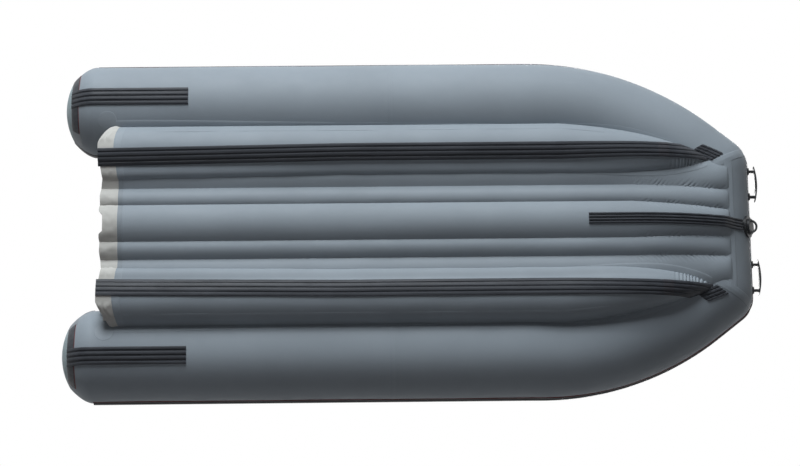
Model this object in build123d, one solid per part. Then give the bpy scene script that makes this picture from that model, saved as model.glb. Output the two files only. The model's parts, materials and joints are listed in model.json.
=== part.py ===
"""Inflatable motor boat with two hull sponsons under a chambered air floor.

Frame: millimetres, +X to the bow, +Y to port, +Z up.
The boat stands on the keel strips of its two sponsons, and the origin is the middle of that floor area.
"""
from build123d import *
from math import asin, cos, degrees, radians, sin, sqrt
import os

# ---------------------------------------------------------------- driving dimensions
# whole boat
HULL_LENGTH = 3462          # stern tips to the front of the bow tube
SEAT_GAP = 0.3              # glued skins and rounded parts lie this far from what carries them

# buoyancy tubes
TUBE_R = 230
TUBE_SPREAD = 627           # tube centre line from the boat's middle
TUBE_DRAFT = 77             # straight tubes' lowest line above the keel strips
RISE_ANGLE = 5              # how far the tubes tilt up into the bow, degrees
RISE_R = 1000
BEND_ANGLE = 37.6            # turn of each side tube before the mitre, degrees
BEND_R = 1265
MITRE_LEAD = 116            # straight end of the side tube in front of the bend, to the corner
CONE_L = 118                # stern cone of a side tube
CONE_END_R = 156
CONE_BULGE = 13
CAP_L = 42                  # domed cap on the cone

# air floor
FLOOR_BACK = 195            # floor end in front of the tube tips
FLOOR_DRAFT = 27            # centre chamber's bottom above the keel strips
FLOOR_T = 169               # bottom to top of the chambers
SEAM_SPREAD = 92            # seam beside the centre chamber
SEAM_SPREAD_BOW = 68        # the same seam where it meets the bow tube
SIDE_SEAM_SPREAD = 179      # seam beside the inner chamber
SIDE_SEAM_SPREAD_BOW = 169
CENTER_BULGE = 35
INNER_BULGE = 16
DECK_BULGE = 14             # crown of each chamber's top
OUTER_BULGE = 24
SIDE_SEAM_LIFT = 19         # side seam above the centre chamber's seam
FLOOR_EDGE_LIFT = 70        # outer chambers' outer edge above the side seam
FLOOR_EDGE_OVERLAP = 36     # how far that edge reaches into the tube before it is cut to it
FLOOR_BEND_ANGLE = 26       # slope of the floor where it meets the bow tube, degrees
FLOOR_STATIONS = 6          # sections of the swept-up part of a chamber

# sponsons
SPONSON_R = 134
SPONSON_SPREAD = 371
SPONSON_NOSE = 735          # length of the tapering nose
SPONSON_TIP_SPREAD = 317
SPONSON_TIP_RISE = 165
SPONSON_TIP_BACK = 243      # point of the nose behind the front of the bow tube
NOSE_FULLNESS = 0.8         # power that rounds the nose's taper
NOSE_SWEEP = 4              # power of the nose's rise towards its point
NOSE_SHARES = (0, 0.2, 0.4, 0.58, 0.74, 0.87, 0.95, 0.99)

# keel strips
STRIP_T = 3
RIB_H = 5
RIB_SHARE = 0.68
RIB_COUNT = 4
STRIP_W = 87
STRIP_SPREAD = 340
STRIP_TIP_SPREAD = 316      # inner edge of the strip at the nose's point
CENTER_STRIP_W = 56
CENTER_STRIP_L = 850
CENTER_STRIP_STOP_ANGLE = 16    # gap to the ring base round the bow tube, degrees
WRAP_OVERLAP_ANGLE = 4      # how far the strip's bow piece laps its floor piece, degrees

# wear patches
PATCH_BACK = 235            # middle of the patch behind the front of the bow tube
PATCH_SPREAD = 358
PATCH_L = 114
PATCH_W = 62
PATCH_ANGLE = -21.6         # lean of its long sides, degrees
PATCH_LEAN = 42             # how far its short sides lean

# stern strips on the tubes
STERN_STRIP_W = 86
STERN_STRIP_L = 620
STERN_STRIP_OUT = 26
BAND_STRIP_W = 32
BAND_STRIP_ARC = 70         # half angle of the transverse strip, degrees
GUARD_W = 60                # guard strip on the inboard side of the stern cone

# stern band of light fabric
BAND_W = 110
SKIN_T = 1.2
NOTCH_W = 95
NOTCH_L = 20

# rubbing strake
STRAKE_H = 60
STRAKE_T = 9

# bow fittings
RING_REACH = 46             # bow ring in front of the bow tube
RING_WIRE_R = 4.5
RING_R = 30
RING_BASE_R = 56
RING_BASE_T = 9
RING_ANGLE = -27            # place on the bow tube above its forward side, degrees
RING_PIVOT = 16             # middle of the ring's hoop in front of the tube's skin
RING_LEG = 14
RING_HUB_R = 40
RING_HUB_T = 12
HANDLE_ANGLE = 0
HANDLE_SPREAD = 242
HANDLE_W = 183
HANDLE_H = 26
HANDLE_T = 9
HANDLE_STAND = 42
HANDLE_BOW = 7              # how far the grip's middle stands out past its posts
HANDLE_FIN_DROP = 6         # how far the grip's pointed ends hang back
HANDLE_POST = 66
HANDLE_FOOT = 40
SINK = 10                   # how far a fitting's form reaches into a tube before it is cut to it

# transom
TRANSOM_BACK = 300          # transom's after face in front of the tube tips
TRANSOM_T = 36
TRANSOM_TOP = 560
TRANSOM_CUT_W = 420
TRANSOM_CUT_H = 60
HOLDER_T = 12
HOLDER_L = 70
PAD_T = 8
PAD_W = 300
PAD_H = 170
HOLDER_LOW = 150
HOLDER_HIGH = 200
DRAIN_R = 26
DRAIN_T = 12
DRAIN_Y = 90
DRAIN_LIFT = 32             # its middle above the floor
EYE_SPREAD = 260
EYE_Z = 440
EYE_R = 18
EYE_HOLE_R = 11
EYE_T = 8
EYE_REACH = 20              # middle of the eye's hole behind the transom
EYE_PLATE_T = 4
EYE_PLATE_W = 24
EYE_PLATE_H = 62

# benches
BENCH_L = 1010
BENCH_W = 220
BENCH_T = 20
BENCH_TRAVEL = 200
BENCH_REAR = 960            # bench middle from the tube tips
BENCH_FRONT = 1860
BENCH_CORNER_R = 40
RAIL_SPARE = 70             # rail left at each end of the bench's travel
RAIL_ANGLE = 128            # place of the rail round the tube, from outboard, degrees
RAIL_BASE_W = 60
RAIL_BASE_T = 3
RAIL_WEB_T = 5
RAIL_HEAD_R = 6
RAIL_STAND = 38
RUNNER_W = 28
RUNNER_PLAY = 0.5
RUNNER_FLOOR = 6

# oarlocks, valves, handles on top
LOCK_X = 2300
LOCK_ANGLE = 100
LOCK_R = 60
LOCK_T = 10
LOCK_BLOCK_R = 24
LOCK_BLOCK_H = 26
LOCK_PIN_R = 8
LOCK_PIN_H = 46
VALVE_R = 38
VALVE_T = 6
VALVE_CAP_R = 27
VALVE_CAP_H = 14
VALVE_X = 620
VALVE_ANGLE = 150
BOW_VALVE_ANGLE = 150
SIDE_HANDLE_L = 260
SIDE_HANDLE_X = 1400
SIDE_HANDLE_PAD = 62
SIDE_HANDLE_W = 30
SIDE_HANDLE_T = 6
SIDE_HANDLE_RISE = 38

# ---------------------------------------------------------------- derived places
STERN_X = -(HULL_LENGTH + RING_REACH) / 2
BOW_X = STERN_X + HULL_LENGTH
TUBE_Z = TUBE_DRAFT + TUBE_R
RISE = radians(RISE_ANGLE)
BEND = radians(BEND_ANGLE)
CONE_X = STERN_X + CAP_L
STRAIGHT_X = CONE_X + CONE_L
BOW_AXIS_X = BOW_X - TUBE_R
SLOPE_RUN = BEND_R * sin(BEND) + MITRE_LEAD * cos(BEND)
RISE_END_X = BOW_AXIS_X - SLOPE_RUN * cos(RISE)
RISE_START_X = RISE_END_X - RISE_R * sin(RISE)
RISE_END_Z = TUBE_Z + RISE_R * (1 - cos(RISE))
BOW_AXIS_Z = RISE_END_Z + SLOPE_RUN * sin(RISE)
CORNER_Y = TUBE_SPREAD - BEND_R * (1 - cos(BEND)) - MITRE_LEAD * sin(BEND)
RAIL_L = BENCH_W + 2 * (BENCH_TRAVEL + RAIL_SPARE)
FLOOR_X = STERN_X + FLOOR_BACK
TRANSOM_X = STERN_X + TRANSOM_BACK
TIP_X = BOW_X - SPONSON_TIP_BACK
NOSE_X = TIP_X - SPONSON_NOSE

os.makedirs("parts", exist_ok=True)


def save(node, *shapes):
    """Write one node, with each shape as its own solid."""
    solids = [solid for shape in shapes for solid in shape.solids()]
    export_step(solids[0] if len(solids) == 1 else Compound(solids), f"parts/{node}.step")


def both(name, port):
    """Write a port piece and its mirror image."""
    save(f"{name}_port", port)
    save(f"{name}_starboard", mirror(port, about=Plane.XZ))


def disc(x, y, z, radius):
    """Round section square to X."""
    return Plane(origin=(x, y, z), x_dir=(0, 1, 0), z_dir=(1, 0, 0)) * Circle(radius)


def sector(plane, inner, outer, start, end):
    """Section of a strip that lies round a tube, between two angles in a plane at the tube's centre."""
    def at(radius, angle):
        return plane.from_local_coords((radius * cos(radians(angle)), radius * sin(radians(angle)), 0))
    middle = (start + end) / 2
    return make_face([
        ThreePointArc(at(inner, start), at(inner, middle), at(inner, end)),
        Line(at(inner, end), at(outer, end)),
        ThreePointArc(at(outer, end), at(outer, middle), at(outer, start)),
        Line(at(outer, start), at(inner, start)),
    ])


def across(x, y, z):
    """Plane square to X, with its angles from +Y up to +Z."""
    return Plane(origin=(x, y, z), x_dir=(0, 1, 0), z_dir=(1, 0, 0))


def along(x, y, z):
    """Plane square to Y, with its angles from +X up to +Z."""
    return Plane(origin=(x, y, z), x_dir=(1, 0, 0), z_dir=(0, -1, 0))


def box(x0, x1, y0, y1, z0, z1):
    """Block between two corners."""
    return Pos((x0 + x1) / 2, (y0 + y1) / 2, (z0 + z1) / 2) * Box(x1 - x0, y1 - y0, z1 - z0)


# ---------------------------------------------------------------- the tubes' run
RISE_AXIS = Axis((RISE_START_X, 0, TUBE_Z + RISE_R), (0, -1, 0))
BEND_AXIS = Axis((RISE_END_X, TUBE_SPREAD - BEND_R, RISE_END_Z), (sin(RISE), 0, -cos(RISE)))
HEADING = Vector(cos(BEND) * cos(RISE), -sin(BEND), cos(BEND) * sin(RISE))
CORNER = Vector(BOW_AXIS_X, CORNER_Y, BOW_AXIS_Z)
MITRE_NORMAL = (HEADING + Vector(0, -1, 0)).normalized()


def beyond_mitre(side):
    """Block in front of the port mitre plane (side 1) or behind it (side -1)."""
    plane = Plane(origin=CORNER, z_dir=MITRE_NORMAL * side)
    return plane * Pos(0, 0, TUBE_R * 3) * Box(TUBE_R * 6, TUBE_R * 6, TUBE_R * 6)


def along_side(section_at, start_x):
    """Run a section along the port tube, from start_x over the rise and the bend to the mitre."""
    straight = extrude(section_at(start_x), amount=RISE_START_X - start_x, dir=(1, 0, 0))
    rising = revolve(section_at(RISE_START_X), RISE_AXIS, RISE_ANGLE)
    tilted = section_at(RISE_START_X).rotate(RISE_AXIS, RISE_ANGLE)
    bent = revolve(tilted, BEND_AXIS, BEND_ANGLE)
    turned = tilted.rotate(BEND_AXIS, BEND_ANGLE)
    lead = extrude(turned, amount=MITRE_LEAD + TUBE_R, dir=HEADING) - beyond_mitre(1)
    return straight + rising + bent + lead


def along_bow(section_at):
    """Run a section along the bow tube between its two mitres. The section comes tilted to the slope."""
    section = section_at(BOW_AXIS_X, 0, BOW_AXIS_Z)
    reach = CORNER_Y + TUBE_R * 2
    whole = extrude(section, amount=reach, dir=(0, 1, 0)) + extrude(section, amount=reach, dir=(0, -1, 0))
    cutter = beyond_mitre(-1)
    return whole - cutter - mirror(cutter, about=Plane.XZ)


def side_tube(radius, start_x):
    return along_side(lambda x: disc(x, TUBE_SPREAD, TUBE_Z, radius), start_x)


def bow_tube(radius):
    return along_bow(lambda x, y, z: Plane(origin=(x, y, z), z_dir=(0, 1, 0)) * Circle(radius))


def cone_form(extra):
    """Rounded stern cone of the port tube, grown by extra."""
    middle_x = (CONE_X + STRAIGHT_X) / 2
    middle_r = (TUBE_R + CONE_END_R) / 2 + CONE_BULGE
    front = (STRAIGHT_X, TUBE_R + extra)
    profile = make_face([
        Line((CONE_X, 0), (STRAIGHT_X, 0)),
        Line((STRAIGHT_X, 0), front),
        ThreePointArc(front, (middle_x, middle_r + extra), (CONE_X, CONE_END_R + extra)),
        Line((CONE_X, CONE_END_R + extra), (CONE_X, 0)),
    ])
    return Pos(0, TUBE_SPREAD, TUBE_Z) * revolve(profile, Axis.X, 360)


def cone_and_cap():
    """Stern cone of the port tube, and the domed cap that closes it."""
    cone = cone_form(0)
    dome_r = (CONE_END_R ** 2 + CAP_L ** 2) / (2 * CAP_L)
    ball = Pos(STERN_X + dome_r, TUBE_SPREAD, TUBE_Z) * Sphere(dome_r)
    cap = ball & box(STERN_X - 1, CONE_X, TUBE_SPREAD - TUBE_R, TUBE_SPREAD + TUBE_R, 0, TUBE_Z + TUBE_R)
    return cone, cap


cone, cap = cone_and_cap()
port_tube = side_tube(TUBE_R, STRAIGHT_X) + cone
both("tube", port_tube)
both("tube_cap", cap)
save("tube_bow", bow_tube(TUBE_R))

# what is glued to the tubes is cut to their skin, a glue gap away
side_skin = side_tube(TUBE_R + SEAT_GAP, STRAIGHT_X)
bow_skin = bow_tube(TUBE_R + SEAT_GAP)

# ---------------------------------------------------------------- air floor
FLOOR_BEND = radians(FLOOR_BEND_ANGLE)
CONTACT_X = BOW_AXIS_X + TUBE_R * sin(FLOOR_BEND)
CONTACT_Z = BOW_AXIS_Z - TUBE_R * cos(FLOOR_BEND)
SEAM_LOW = FLOOR_DRAFT + CENTER_BULGE
SIDE_SEAM_LOW = SEAM_LOW + SIDE_SEAM_LIFT
EDGE_LOW = SIDE_SEAM_LOW + FLOOR_EDGE_LIFT
FLOOR_TOP = FLOOR_DRAFT + FLOOR_T
SEAM_HIGH = FLOOR_TOP - DECK_BULGE
FLOOR_RUN = (CONTACT_Z - SEAM_LOW) * sin(FLOOR_BEND) / (1 - cos(FLOOR_BEND))
FLOOR_BEND_X = CONTACT_X - FLOOR_RUN
EDGE_SPREAD = TUBE_SPREAD - sqrt(TUBE_R ** 2 - (TUBE_Z - EDGE_LOW) ** 2) + FLOOR_EDGE_OVERLAP


def sweep_up(share):
    """Height gained along the swept-up part, from 0 to 1, on a circle that starts level."""
    return (1 - cos(asin(share * sin(FLOOR_BEND)))) / (1 - cos(FLOOR_BEND))


def chamber_section(x, low_seam, high_seam, bulge):
    """Section of a floor chamber: two upright webs between a bulging bottom and top.

    A seam is its place from the boat's middle, there and at the bow, and its height above the strips.
    """
    share = max(0, (x - FLOOR_BEND_X) / FLOOR_RUN)
    rise = sweep_up(share)
    corners = []
    for spread, bow_spread, low in (low_seam, high_seam):
        y = spread + (bow_spread - spread) * share
        corners.append((y, low + (CONTACT_Z - low) * rise, SEAM_HIGH + (CONTACT_Z - SEAM_LOW) * rise))
    (y0, low0, high0), (y1, low1, high1) = corners
    middle = (y0 + y1) / 2
    return make_face([
        ThreePointArc((x, y0, low0), (x, middle, (low0 + low1) / 2 - bulge), (x, y1, low1)),
        Line((x, y1, low1), (x, y1, high1)),
        ThreePointArc((x, y1, high1), (x, middle, high1 + DECK_BULGE), (x, y0, high0)),
        Line((x, y0, high0), (x, y0, low0)),
    ])


CENTER_SEAM = (SEAM_SPREAD, SEAM_SPREAD_BOW, SEAM_LOW)
FAR_CENTER_SEAM = (-SEAM_SPREAD, -SEAM_SPREAD_BOW, SEAM_LOW)
SIDE_SEAM = (SIDE_SEAM_SPREAD, SIDE_SEAM_SPREAD_BOW, SIDE_SEAM_LOW)
EDGE_SEAM = (EDGE_SPREAD, CORNER_Y, EDGE_LOW)
CHAMBERS = {
    "center": (FAR_CENTER_SEAM, CENTER_SEAM, CENTER_BULGE),
    "inner": (CENTER_SEAM, SIDE_SEAM, INNER_BULGE),
    "outer": (SIDE_SEAM, EDGE_SEAM, OUTER_BULGE),
}


def chamber(name, grow=0):
    """One chamber from the stern end, level at first and then swept up to the bow tube."""
    low_seam, high_seam, bulge = CHAMBERS[name]
    after_end = chamber_section(FLOOR_X, low_seam, high_seam, bulge + grow)
    flat = extrude(after_end, FLOOR_BEND_X - FLOOR_X, dir=(1, 0, 0))
    stations = [FLOOR_BEND_X + FLOOR_RUN * step / FLOOR_STATIONS for step in range(FLOOR_STATIONS + 1)]
    swept = loft([chamber_section(x, low_seam, high_seam, bulge + grow) for x in stations])
    return flat + swept - bow_skin


center_chamber = chamber("center")
inner_chamber = chamber("inner")
outer_chamber = chamber("outer") - side_skin
save("floor_center", center_chamber)
both("floor_inner", inner_chamber)
both("floor_outer", outer_chamber)

# ---------------------------------------------------------------- sponsons
SPONSON_Z = RIB_H + STRIP_T + SPONSON_R


def nose_section(share, extra):
    """Round section of the sponson's nose at a share of its length: it slims, leans in and rises."""
    radius = SPONSON_R * (1 - share ** 2) ** NOSE_FULLNESS
    y = SPONSON_SPREAD + (SPONSON_TIP_SPREAD - SPONSON_SPREAD) * share
    bottom = SPONSON_Z - SPONSON_R + SPONSON_TIP_RISE * share ** NOSE_SWEEP
    return disc(NOSE_X + SPONSON_NOSE * share, y, bottom + radius, radius + extra)


def sponson_form(extra):
    """Port sponson's outer form, grown by extra all round."""
    after_end = disc(FLOOR_X, SPONSON_SPREAD, SPONSON_Z, SPONSON_R + extra)
    body = extrude(after_end, NOSE_X - FLOOR_X, dir=(1, 0, 0))
    nose = loft([nose_section(share, extra) for share in NOSE_SHARES])
    return body + nose


sponson = sponson_form(0) - side_skin - outer_chamber - inner_chamber
sponson = max(sponson.solids(), key=lambda solid: solid.volume)
both("sponson", sponson)


def strip_span(low, high):
    """Block over a lengthwise band of the sponson's underside, slanted in towards the nose's point."""
    lean = (STRIP_TIP_SPREAD - STRIP_SPREAD + STRIP_W / 2) * (1 - (low + STRIP_W / 2) / STRIP_W)
    inner = STRIP_SPREAD + low
    outer = STRIP_SPREAD + high
    outline = Polyline((FLOOR_X, inner), (NOSE_X, inner), (TIP_X, inner + lean),
                       (TIP_X, outer + lean), (NOSE_X, outer), (FLOOR_X, outer), close=True)
    return extrude(make_face(outline), SPONSON_Z + SPONSON_TIP_RISE, dir=(0, 0, 1))


def rib_spans(width):
    """Low and high edge of each rib across a strip, from its middle."""
    pitch = width / (RIB_COUNT - 1 + RIB_SHARE)
    lows = [pitch * index - width / 2 for index in range(RIB_COUNT)]
    return [(low, low + pitch * RIB_SHARE) for low in lows]


def keel_strip():
    """Ribbed wear strip under the port sponson, over the nose up to its point."""
    half = STRIP_W / 2
    lower = box(FLOOR_X, TIP_X, 0, TUBE_SPREAD, -RIB_H, SPONSON_Z)
    lower += box(NOSE_X, TIP_X, 0, TUBE_SPREAD, 0, BOW_AXIS_Z)
    web = sponson_form(STRIP_T)
    strip = (web - sponson_form(0)) & strip_span(-half, half) & lower
    ribbed = sponson_form(STRIP_T + RIB_H) - web
    for low, high in rib_spans(STRIP_W):
        strip += ribbed & strip_span(low, high) & lower
    strip = strip - outer_chamber - side_skin - inner_chamber
    return max(strip.solids(), key=lambda solid: solid.volume)


port_keel_strip = keel_strip()
both("keel_strip", port_keel_strip)

# ---------------------------------------------------------------- strips and bands
def center_strip():
    """Ribbed strip under the centre chamber and up the bow tube to the ring's base."""
    start = BOW_X - CENTER_STRIP_L
    spans = [(-CENTER_STRIP_W / 2, CENTER_STRIP_W / 2, STRIP_T)]
    spans += [(low, high, STRIP_T + RIB_H) for low, high in rib_spans(CENTER_STRIP_W)]
    layers = {height: chamber("center", height) for height in (STRIP_T, STRIP_T + RIB_H)}
    seat = chamber("center", SEAT_GAP)
    strip = Part()
    for low, high, height in spans:
        strip += (layers[height] & box(start, CONTACT_X, low, high, 0, BOW_AXIS_Z)) - seat
        wrap = sector(along(BOW_AXIS_X, low, BOW_AXIS_Z), TUBE_R + SEAT_GAP, TUBE_R + height,
                      FLOOR_BEND_ANGLE - 90 - WRAP_OVERLAP_ANGLE, RING_ANGLE - CENTER_STRIP_STOP_ANGLE)
        strip += extrude(wrap, high - low, dir=(0, 1, 0)) - center_chamber
    strip = strip & box(start, BOW_X, -CENTER_STRIP_W / 2, CENTER_STRIP_W / 2, 0, BOW_AXIS_Z)
    return max(strip.solids(), key=lambda solid: solid.volume)


def stern_strip():
    """Ribbed strip along the port tube's bottom, over the cone, and the strip across its end."""
    angle = -90 + degrees(asin(STERN_STRIP_OUT / TUBE_R))
    half = degrees(STERN_STRIP_W / 2 / TUBE_R)
    length = STERN_X + STERN_STRIP_L - STRAIGHT_X
    bands = [(angle - half, angle + half, STRIP_T)]
    for low, high in rib_spans(2 * half):
        bands.append((angle + low, angle + high, STRIP_T + RIB_H))
    strip = Part()
    center = across(STRAIGHT_X, TUBE_SPREAD, TUBE_Z)
    for low, high, height in bands:
        strip += extrude(sector(center, TUBE_R + SEAT_GAP, TUBE_R + height, low, high), length, dir=(1, 0, 0))
        fan = sector(across(CONE_X, TUBE_SPREAD, TUBE_Z), 1, TUBE_R * 2, low, high)
        strip += (cone_form(height) - cone_form(SEAT_GAP)) & extrude(fan, CONE_L, dir=(1, 0, 0))
    fan = sector(across(CONE_X, TUBE_SPREAD, TUBE_Z), 1, TUBE_R * 2,
                 angle - BAND_STRIP_ARC, angle + BAND_STRIP_ARC)
    strip += (cone_form(STRIP_T) - cone_form(SEAT_GAP)) & extrude(fan, BAND_STRIP_W, dir=(1, 0, 0))
    return strip


def cone_guard():
    """Flat guard strip on the cone's inboard side."""
    half = degrees(GUARD_W / 2 / TUBE_R)
    fan = sector(across(CONE_X, TUBE_SPREAD, TUBE_Z), 1, TUBE_R * 2, 180 - half, 180 + half)
    return (cone_form(STRIP_T) - cone_form(SEAT_GAP)) & extrude(fan, CONE_L, dir=(1, 0, 0))


def wear_patch():
    """Slanted ribbed patch on the tube in front of the sponson's point."""
    base = Plane(origin=(BOW_X - PATCH_BACK, PATCH_SPREAD, 0), z_dir=(0, 0, 1)).rotated((0, 0, PATCH_ANGLE))
    half_l = PATCH_L / 2
    half_w = PATCH_W / 2
    lean = PATCH_LEAN / 2
    outline = Polyline((-half_l - lean, -half_w), (half_l - lean, -half_w),
                       (half_l + lean, half_w), (lean - half_l, half_w), close=True)
    prism = extrude(base * make_face(outline), BOW_AXIS_Z, dir=(0, 0, 1))
    skin = side_tube(TUBE_R + STRIP_T, RISE_START_X - 1)
    patch = (skin - side_skin) & prism
    ribbed = (side_tube(TUBE_R + STRIP_T + RIB_H / 2, RISE_START_X - 1) - skin) & prism
    for low, high in rib_spans(PATCH_W):
        bar = base * Pos(0, (low + high) / 2, BOW_AXIS_Z / 2) * Box(PATCH_L * 2, high - low, BOW_AXIS_Z)
        patch += ribbed & bar
    patch = patch - outer_chamber - sponson - port_keel_strip
    return max(patch.solids(), key=lambda solid: solid.volume)


STRAKE_HALF = degrees(STRAKE_H / 2 / TUBE_R)


def side_strake(inner, outer, half):
    """Rubbing strake along the port tube's outboard side."""
    return along_side(lambda x: sector(across(x, TUBE_SPREAD, TUBE_Z), inner, outer, -half, half), STRAIGHT_X)


def bow_strake(inner, outer, half):
    low = RISE_ANGLE - half
    high = RISE_ANGLE + half
    return along_bow(lambda x, y, z: sector(along(x, y, z), inner, outer, low, high))


def band_half():
    """Port half of the stern band's outer form: floor and sponson, grown by the skin."""
    length = BAND_W + SKIN_T
    back = FLOOR_X - SKIN_T
    form = Part()
    for name, (low_seam, high_seam, bulge) in CHAMBERS.items():
        low = tuple(low_seam[:2]) + (low_seam[2] - SKIN_T,)
        high = tuple(high_seam[:2]) + (high_seam[2] - SKIN_T,)
        form += extrude(chamber_section(back, low, high, bulge), length, dir=(1, 0, 0))
    pod = extrude(disc(back, SPONSON_SPREAD, SPONSON_Z, SPONSON_R + SKIN_T), length, dir=(1, 0, 0))
    return form + (pod & box(back, back + length, 0, TUBE_SPREAD, -SKIN_T, SPONSON_Z)) - side_skin


def stern_band():
    """Light fabric band that wraps the stern end of the floor and the sponsons, notched in the middle."""
    half = band_half()
    form = half + mirror(half, about=Plane.XZ)
    port = outer_chamber + inner_chamber + sponson + port_keel_strip
    form = form - center_chamber - port - mirror(port, about=Plane.XZ)
    notch = box(FLOOR_X, FLOOR_X + NOTCH_L, -NOTCH_W / 2, NOTCH_W / 2, -SKIN_T, SEAM_LOW + CENTER_BULGE)
    band = form - notch
    return max(band.solids(), key=lambda solid: solid.volume)


save("keel_strip_center", center_strip())
both("stern_strip", stern_strip())
both("cone_guard", cone_guard())
both("wear_patch", wear_patch())
both("strake", side_strake(TUBE_R + SEAT_GAP, TUBE_R + STRAKE_T, STRAKE_HALF))
save("strake_bow", bow_strake(TUBE_R + SEAT_GAP, TUBE_R + STRAKE_T, STRAKE_HALF))
save("stern_band", stern_band())


# ---------------------------------------------------------------- bow fittings
def at_bow(angle, y):
    """Plane on the bow tube's skin, facing out at an angle above the forward side."""
    out = Vector(cos(radians(angle)), 0, sin(radians(angle)))
    return Plane(origin=Vector(BOW_AXIS_X, y, BOW_AXIS_Z) + out * TUBE_R, x_dir=(0, 1, 0), z_dir=out)


def ring_base():
    seat = at_bow(RING_ANGLE, 0)
    plate = seat * Pos(0, 0, (RING_BASE_T - SINK) / 2) * Cylinder(RING_BASE_R, RING_BASE_T + SINK)
    hub = seat * Pos(0, 0, RING_BASE_T + RING_HUB_T / 2) * Cylinder(RING_HUB_R, RING_HUB_T)
    return plate + hub - bow_skin - ring


def ring_plane():
    """Level plane of the tow ring, with the middle of its hoop as its origin."""
    seat = at_bow(RING_ANGLE, 0)
    return Plane(origin=seat.origin + seat.z_dir * RING_PIVOT, x_dir=(0, -1, 0), z_dir=(0, 0, 1))


def ring_form(wire_r):
    """Half hoop of round wire with two legs that are moulded into the hub."""
    hoop = Torus(RING_R, wire_r) & (Pos(0, RING_R, 0) * Box(RING_R * 4, RING_R * 2, RING_R))
    leg = Rot(90, 0, 0) * Cylinder(wire_r, RING_LEG, align=(Align.CENTER, Align.CENTER, Align.MIN))
    return ring_plane() * (hoop + Pos(RING_R, 0, 0) * leg + Pos(-RING_R, 0, 0) * leg)


ring = ring_form(RING_WIRE_R) - bow_skin
save("bow_ring_base", ring_base())
save("bow_ring", ring)


def bow_handle():
    """Moulded grab handle on the bow tube: two feet, two posts and a bowed grip with pointed ends."""
    seat = at_bow(HANDLE_ANGLE, HANDLE_SPREAD)
    handle = Part()
    for side in (1, -1):
        post = seat * Pos(side * HANDLE_POST, 0, 0)
        handle += post * Pos(0, 0, (HANDLE_T - SINK) / 2) * Cylinder(HANDLE_FOOT / 2, HANDLE_T + SINK)
        handle += post * Pos(0, 0, HANDLE_STAND / 2) * Box(HANDLE_T, HANDLE_H, HANDLE_STAND)
    tip = HANDLE_STAND - HANDLE_FIN_DROP
    side_plane = seat * Plane(origin=(0, HANDLE_H / 2, 0), x_dir=(1, 0, 0), z_dir=(0, -1, 0))
    left, right = (-HANDLE_W / 2, tip), (HANDLE_W / 2, tip)
    top = HANDLE_STAND + HANDLE_BOW
    lens = make_face([ThreePointArc(left, (0, top), right), ThreePointArc(right, (0, top - HANDLE_T), left)])
    handle += extrude(side_plane * lens, HANDLE_H)
    strake_room = bow_strake(TUBE_R, TUBE_R + STRAKE_T + SEAT_GAP, STRAKE_HALF)
    return handle - bow_skin - strake_room


both("bow_handle", bow_handle())

# ---------------------------------------------------------------- transom


def transom():
    """Plywood board between the tubes, with a dip for the motor's clamp."""
    board = box(TRANSOM_X, TRANSOM_X + TRANSOM_T, -TUBE_SPREAD, TUBE_SPREAD,
                FLOOR_TOP + SEAT_GAP, TRANSOM_TOP)
    dip = box(TRANSOM_X - 1, TRANSOM_X + TRANSOM_T + 1, -TRANSOM_CUT_W / 2, TRANSOM_CUT_W / 2,
              TRANSOM_TOP - TRANSOM_CUT_H, TRANSOM_TOP + 1)
    sides = mirror(side_skin, about=Plane.XZ)
    board = board - dip - side_skin - sides
    return max(board.solids(), key=lambda solid: solid.volume)


def holder():
    """Rubber channel that glues the transom's port edge to the tube."""
    inner = TUBE_R + SEAT_GAP
    band = sector(across(TRANSOM_X - HOLDER_L, TUBE_SPREAD, TUBE_Z), inner, TUBE_R + HOLDER_T,
                  HOLDER_LOW, HOLDER_HIGH)
    channel = extrude(band, 2 * HOLDER_L + TRANSOM_T, dir=(1, 0, 0))
    return channel - transom_board - outer_chamber


transom_board = transom()
save("transom", transom_board)
both("transom_holder", holder())
pad_z = TRANSOM_TOP - TRANSOM_CUT_H - PAD_H / 2
save("motor_pad_inner", Pos(TRANSOM_X + TRANSOM_T + PAD_T / 2, 0, pad_z) * Box(PAD_T, PAD_W, PAD_H))
save("motor_plate_outer", Pos(TRANSOM_X - PAD_T / 2, 0, pad_z) * Box(PAD_T, PAD_W, PAD_H))
drain = Cylinder(DRAIN_R, DRAIN_T, align=(Align.CENTER, Align.CENTER, Align.MAX))
save("drain_valve", Pos(TRANSOM_X, DRAIN_Y, FLOOR_TOP + DRAIN_LIFT) * Rot(0, 90, 0) * drain)


def tow_eye():
    """Stainless pad eye on the transom's after face."""
    plane = Plane(origin=(TRANSOM_X, EYE_SPREAD, EYE_Z), x_dir=(0, 1, 0), z_dir=(-1, 0, 0))
    plate = plane * Pos(0, 0, EYE_PLATE_T / 2) * Box(EYE_PLATE_W, EYE_PLATE_H, EYE_PLATE_T)
    lug = Pos(0, 0, EYE_REACH) * Rot(0, 90, 0) * Cylinder(EYE_R, EYE_T)
    lug += Pos(0, 0, EYE_REACH / 2) * Box(EYE_T, EYE_R * 2, EYE_REACH)
    hole = Pos(0, 0, EYE_REACH) * Rot(0, 90, 0) * Cylinder(EYE_HOLE_R, EYE_T * 2)
    eye = plane * (lug - hole)
    return plate + eye


both("tow_eye", tow_eye())


# ---------------------------------------------------------------- benches on their rails
RAIL_SEAT = Vector(0, TUBE_SPREAD + TUBE_R * cos(radians(RAIL_ANGLE)),
                   TUBE_Z + TUBE_R * sin(radians(RAIL_ANGLE)))
HEAD_Z = RAIL_SEAT.Z + RAIL_STAND


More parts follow.
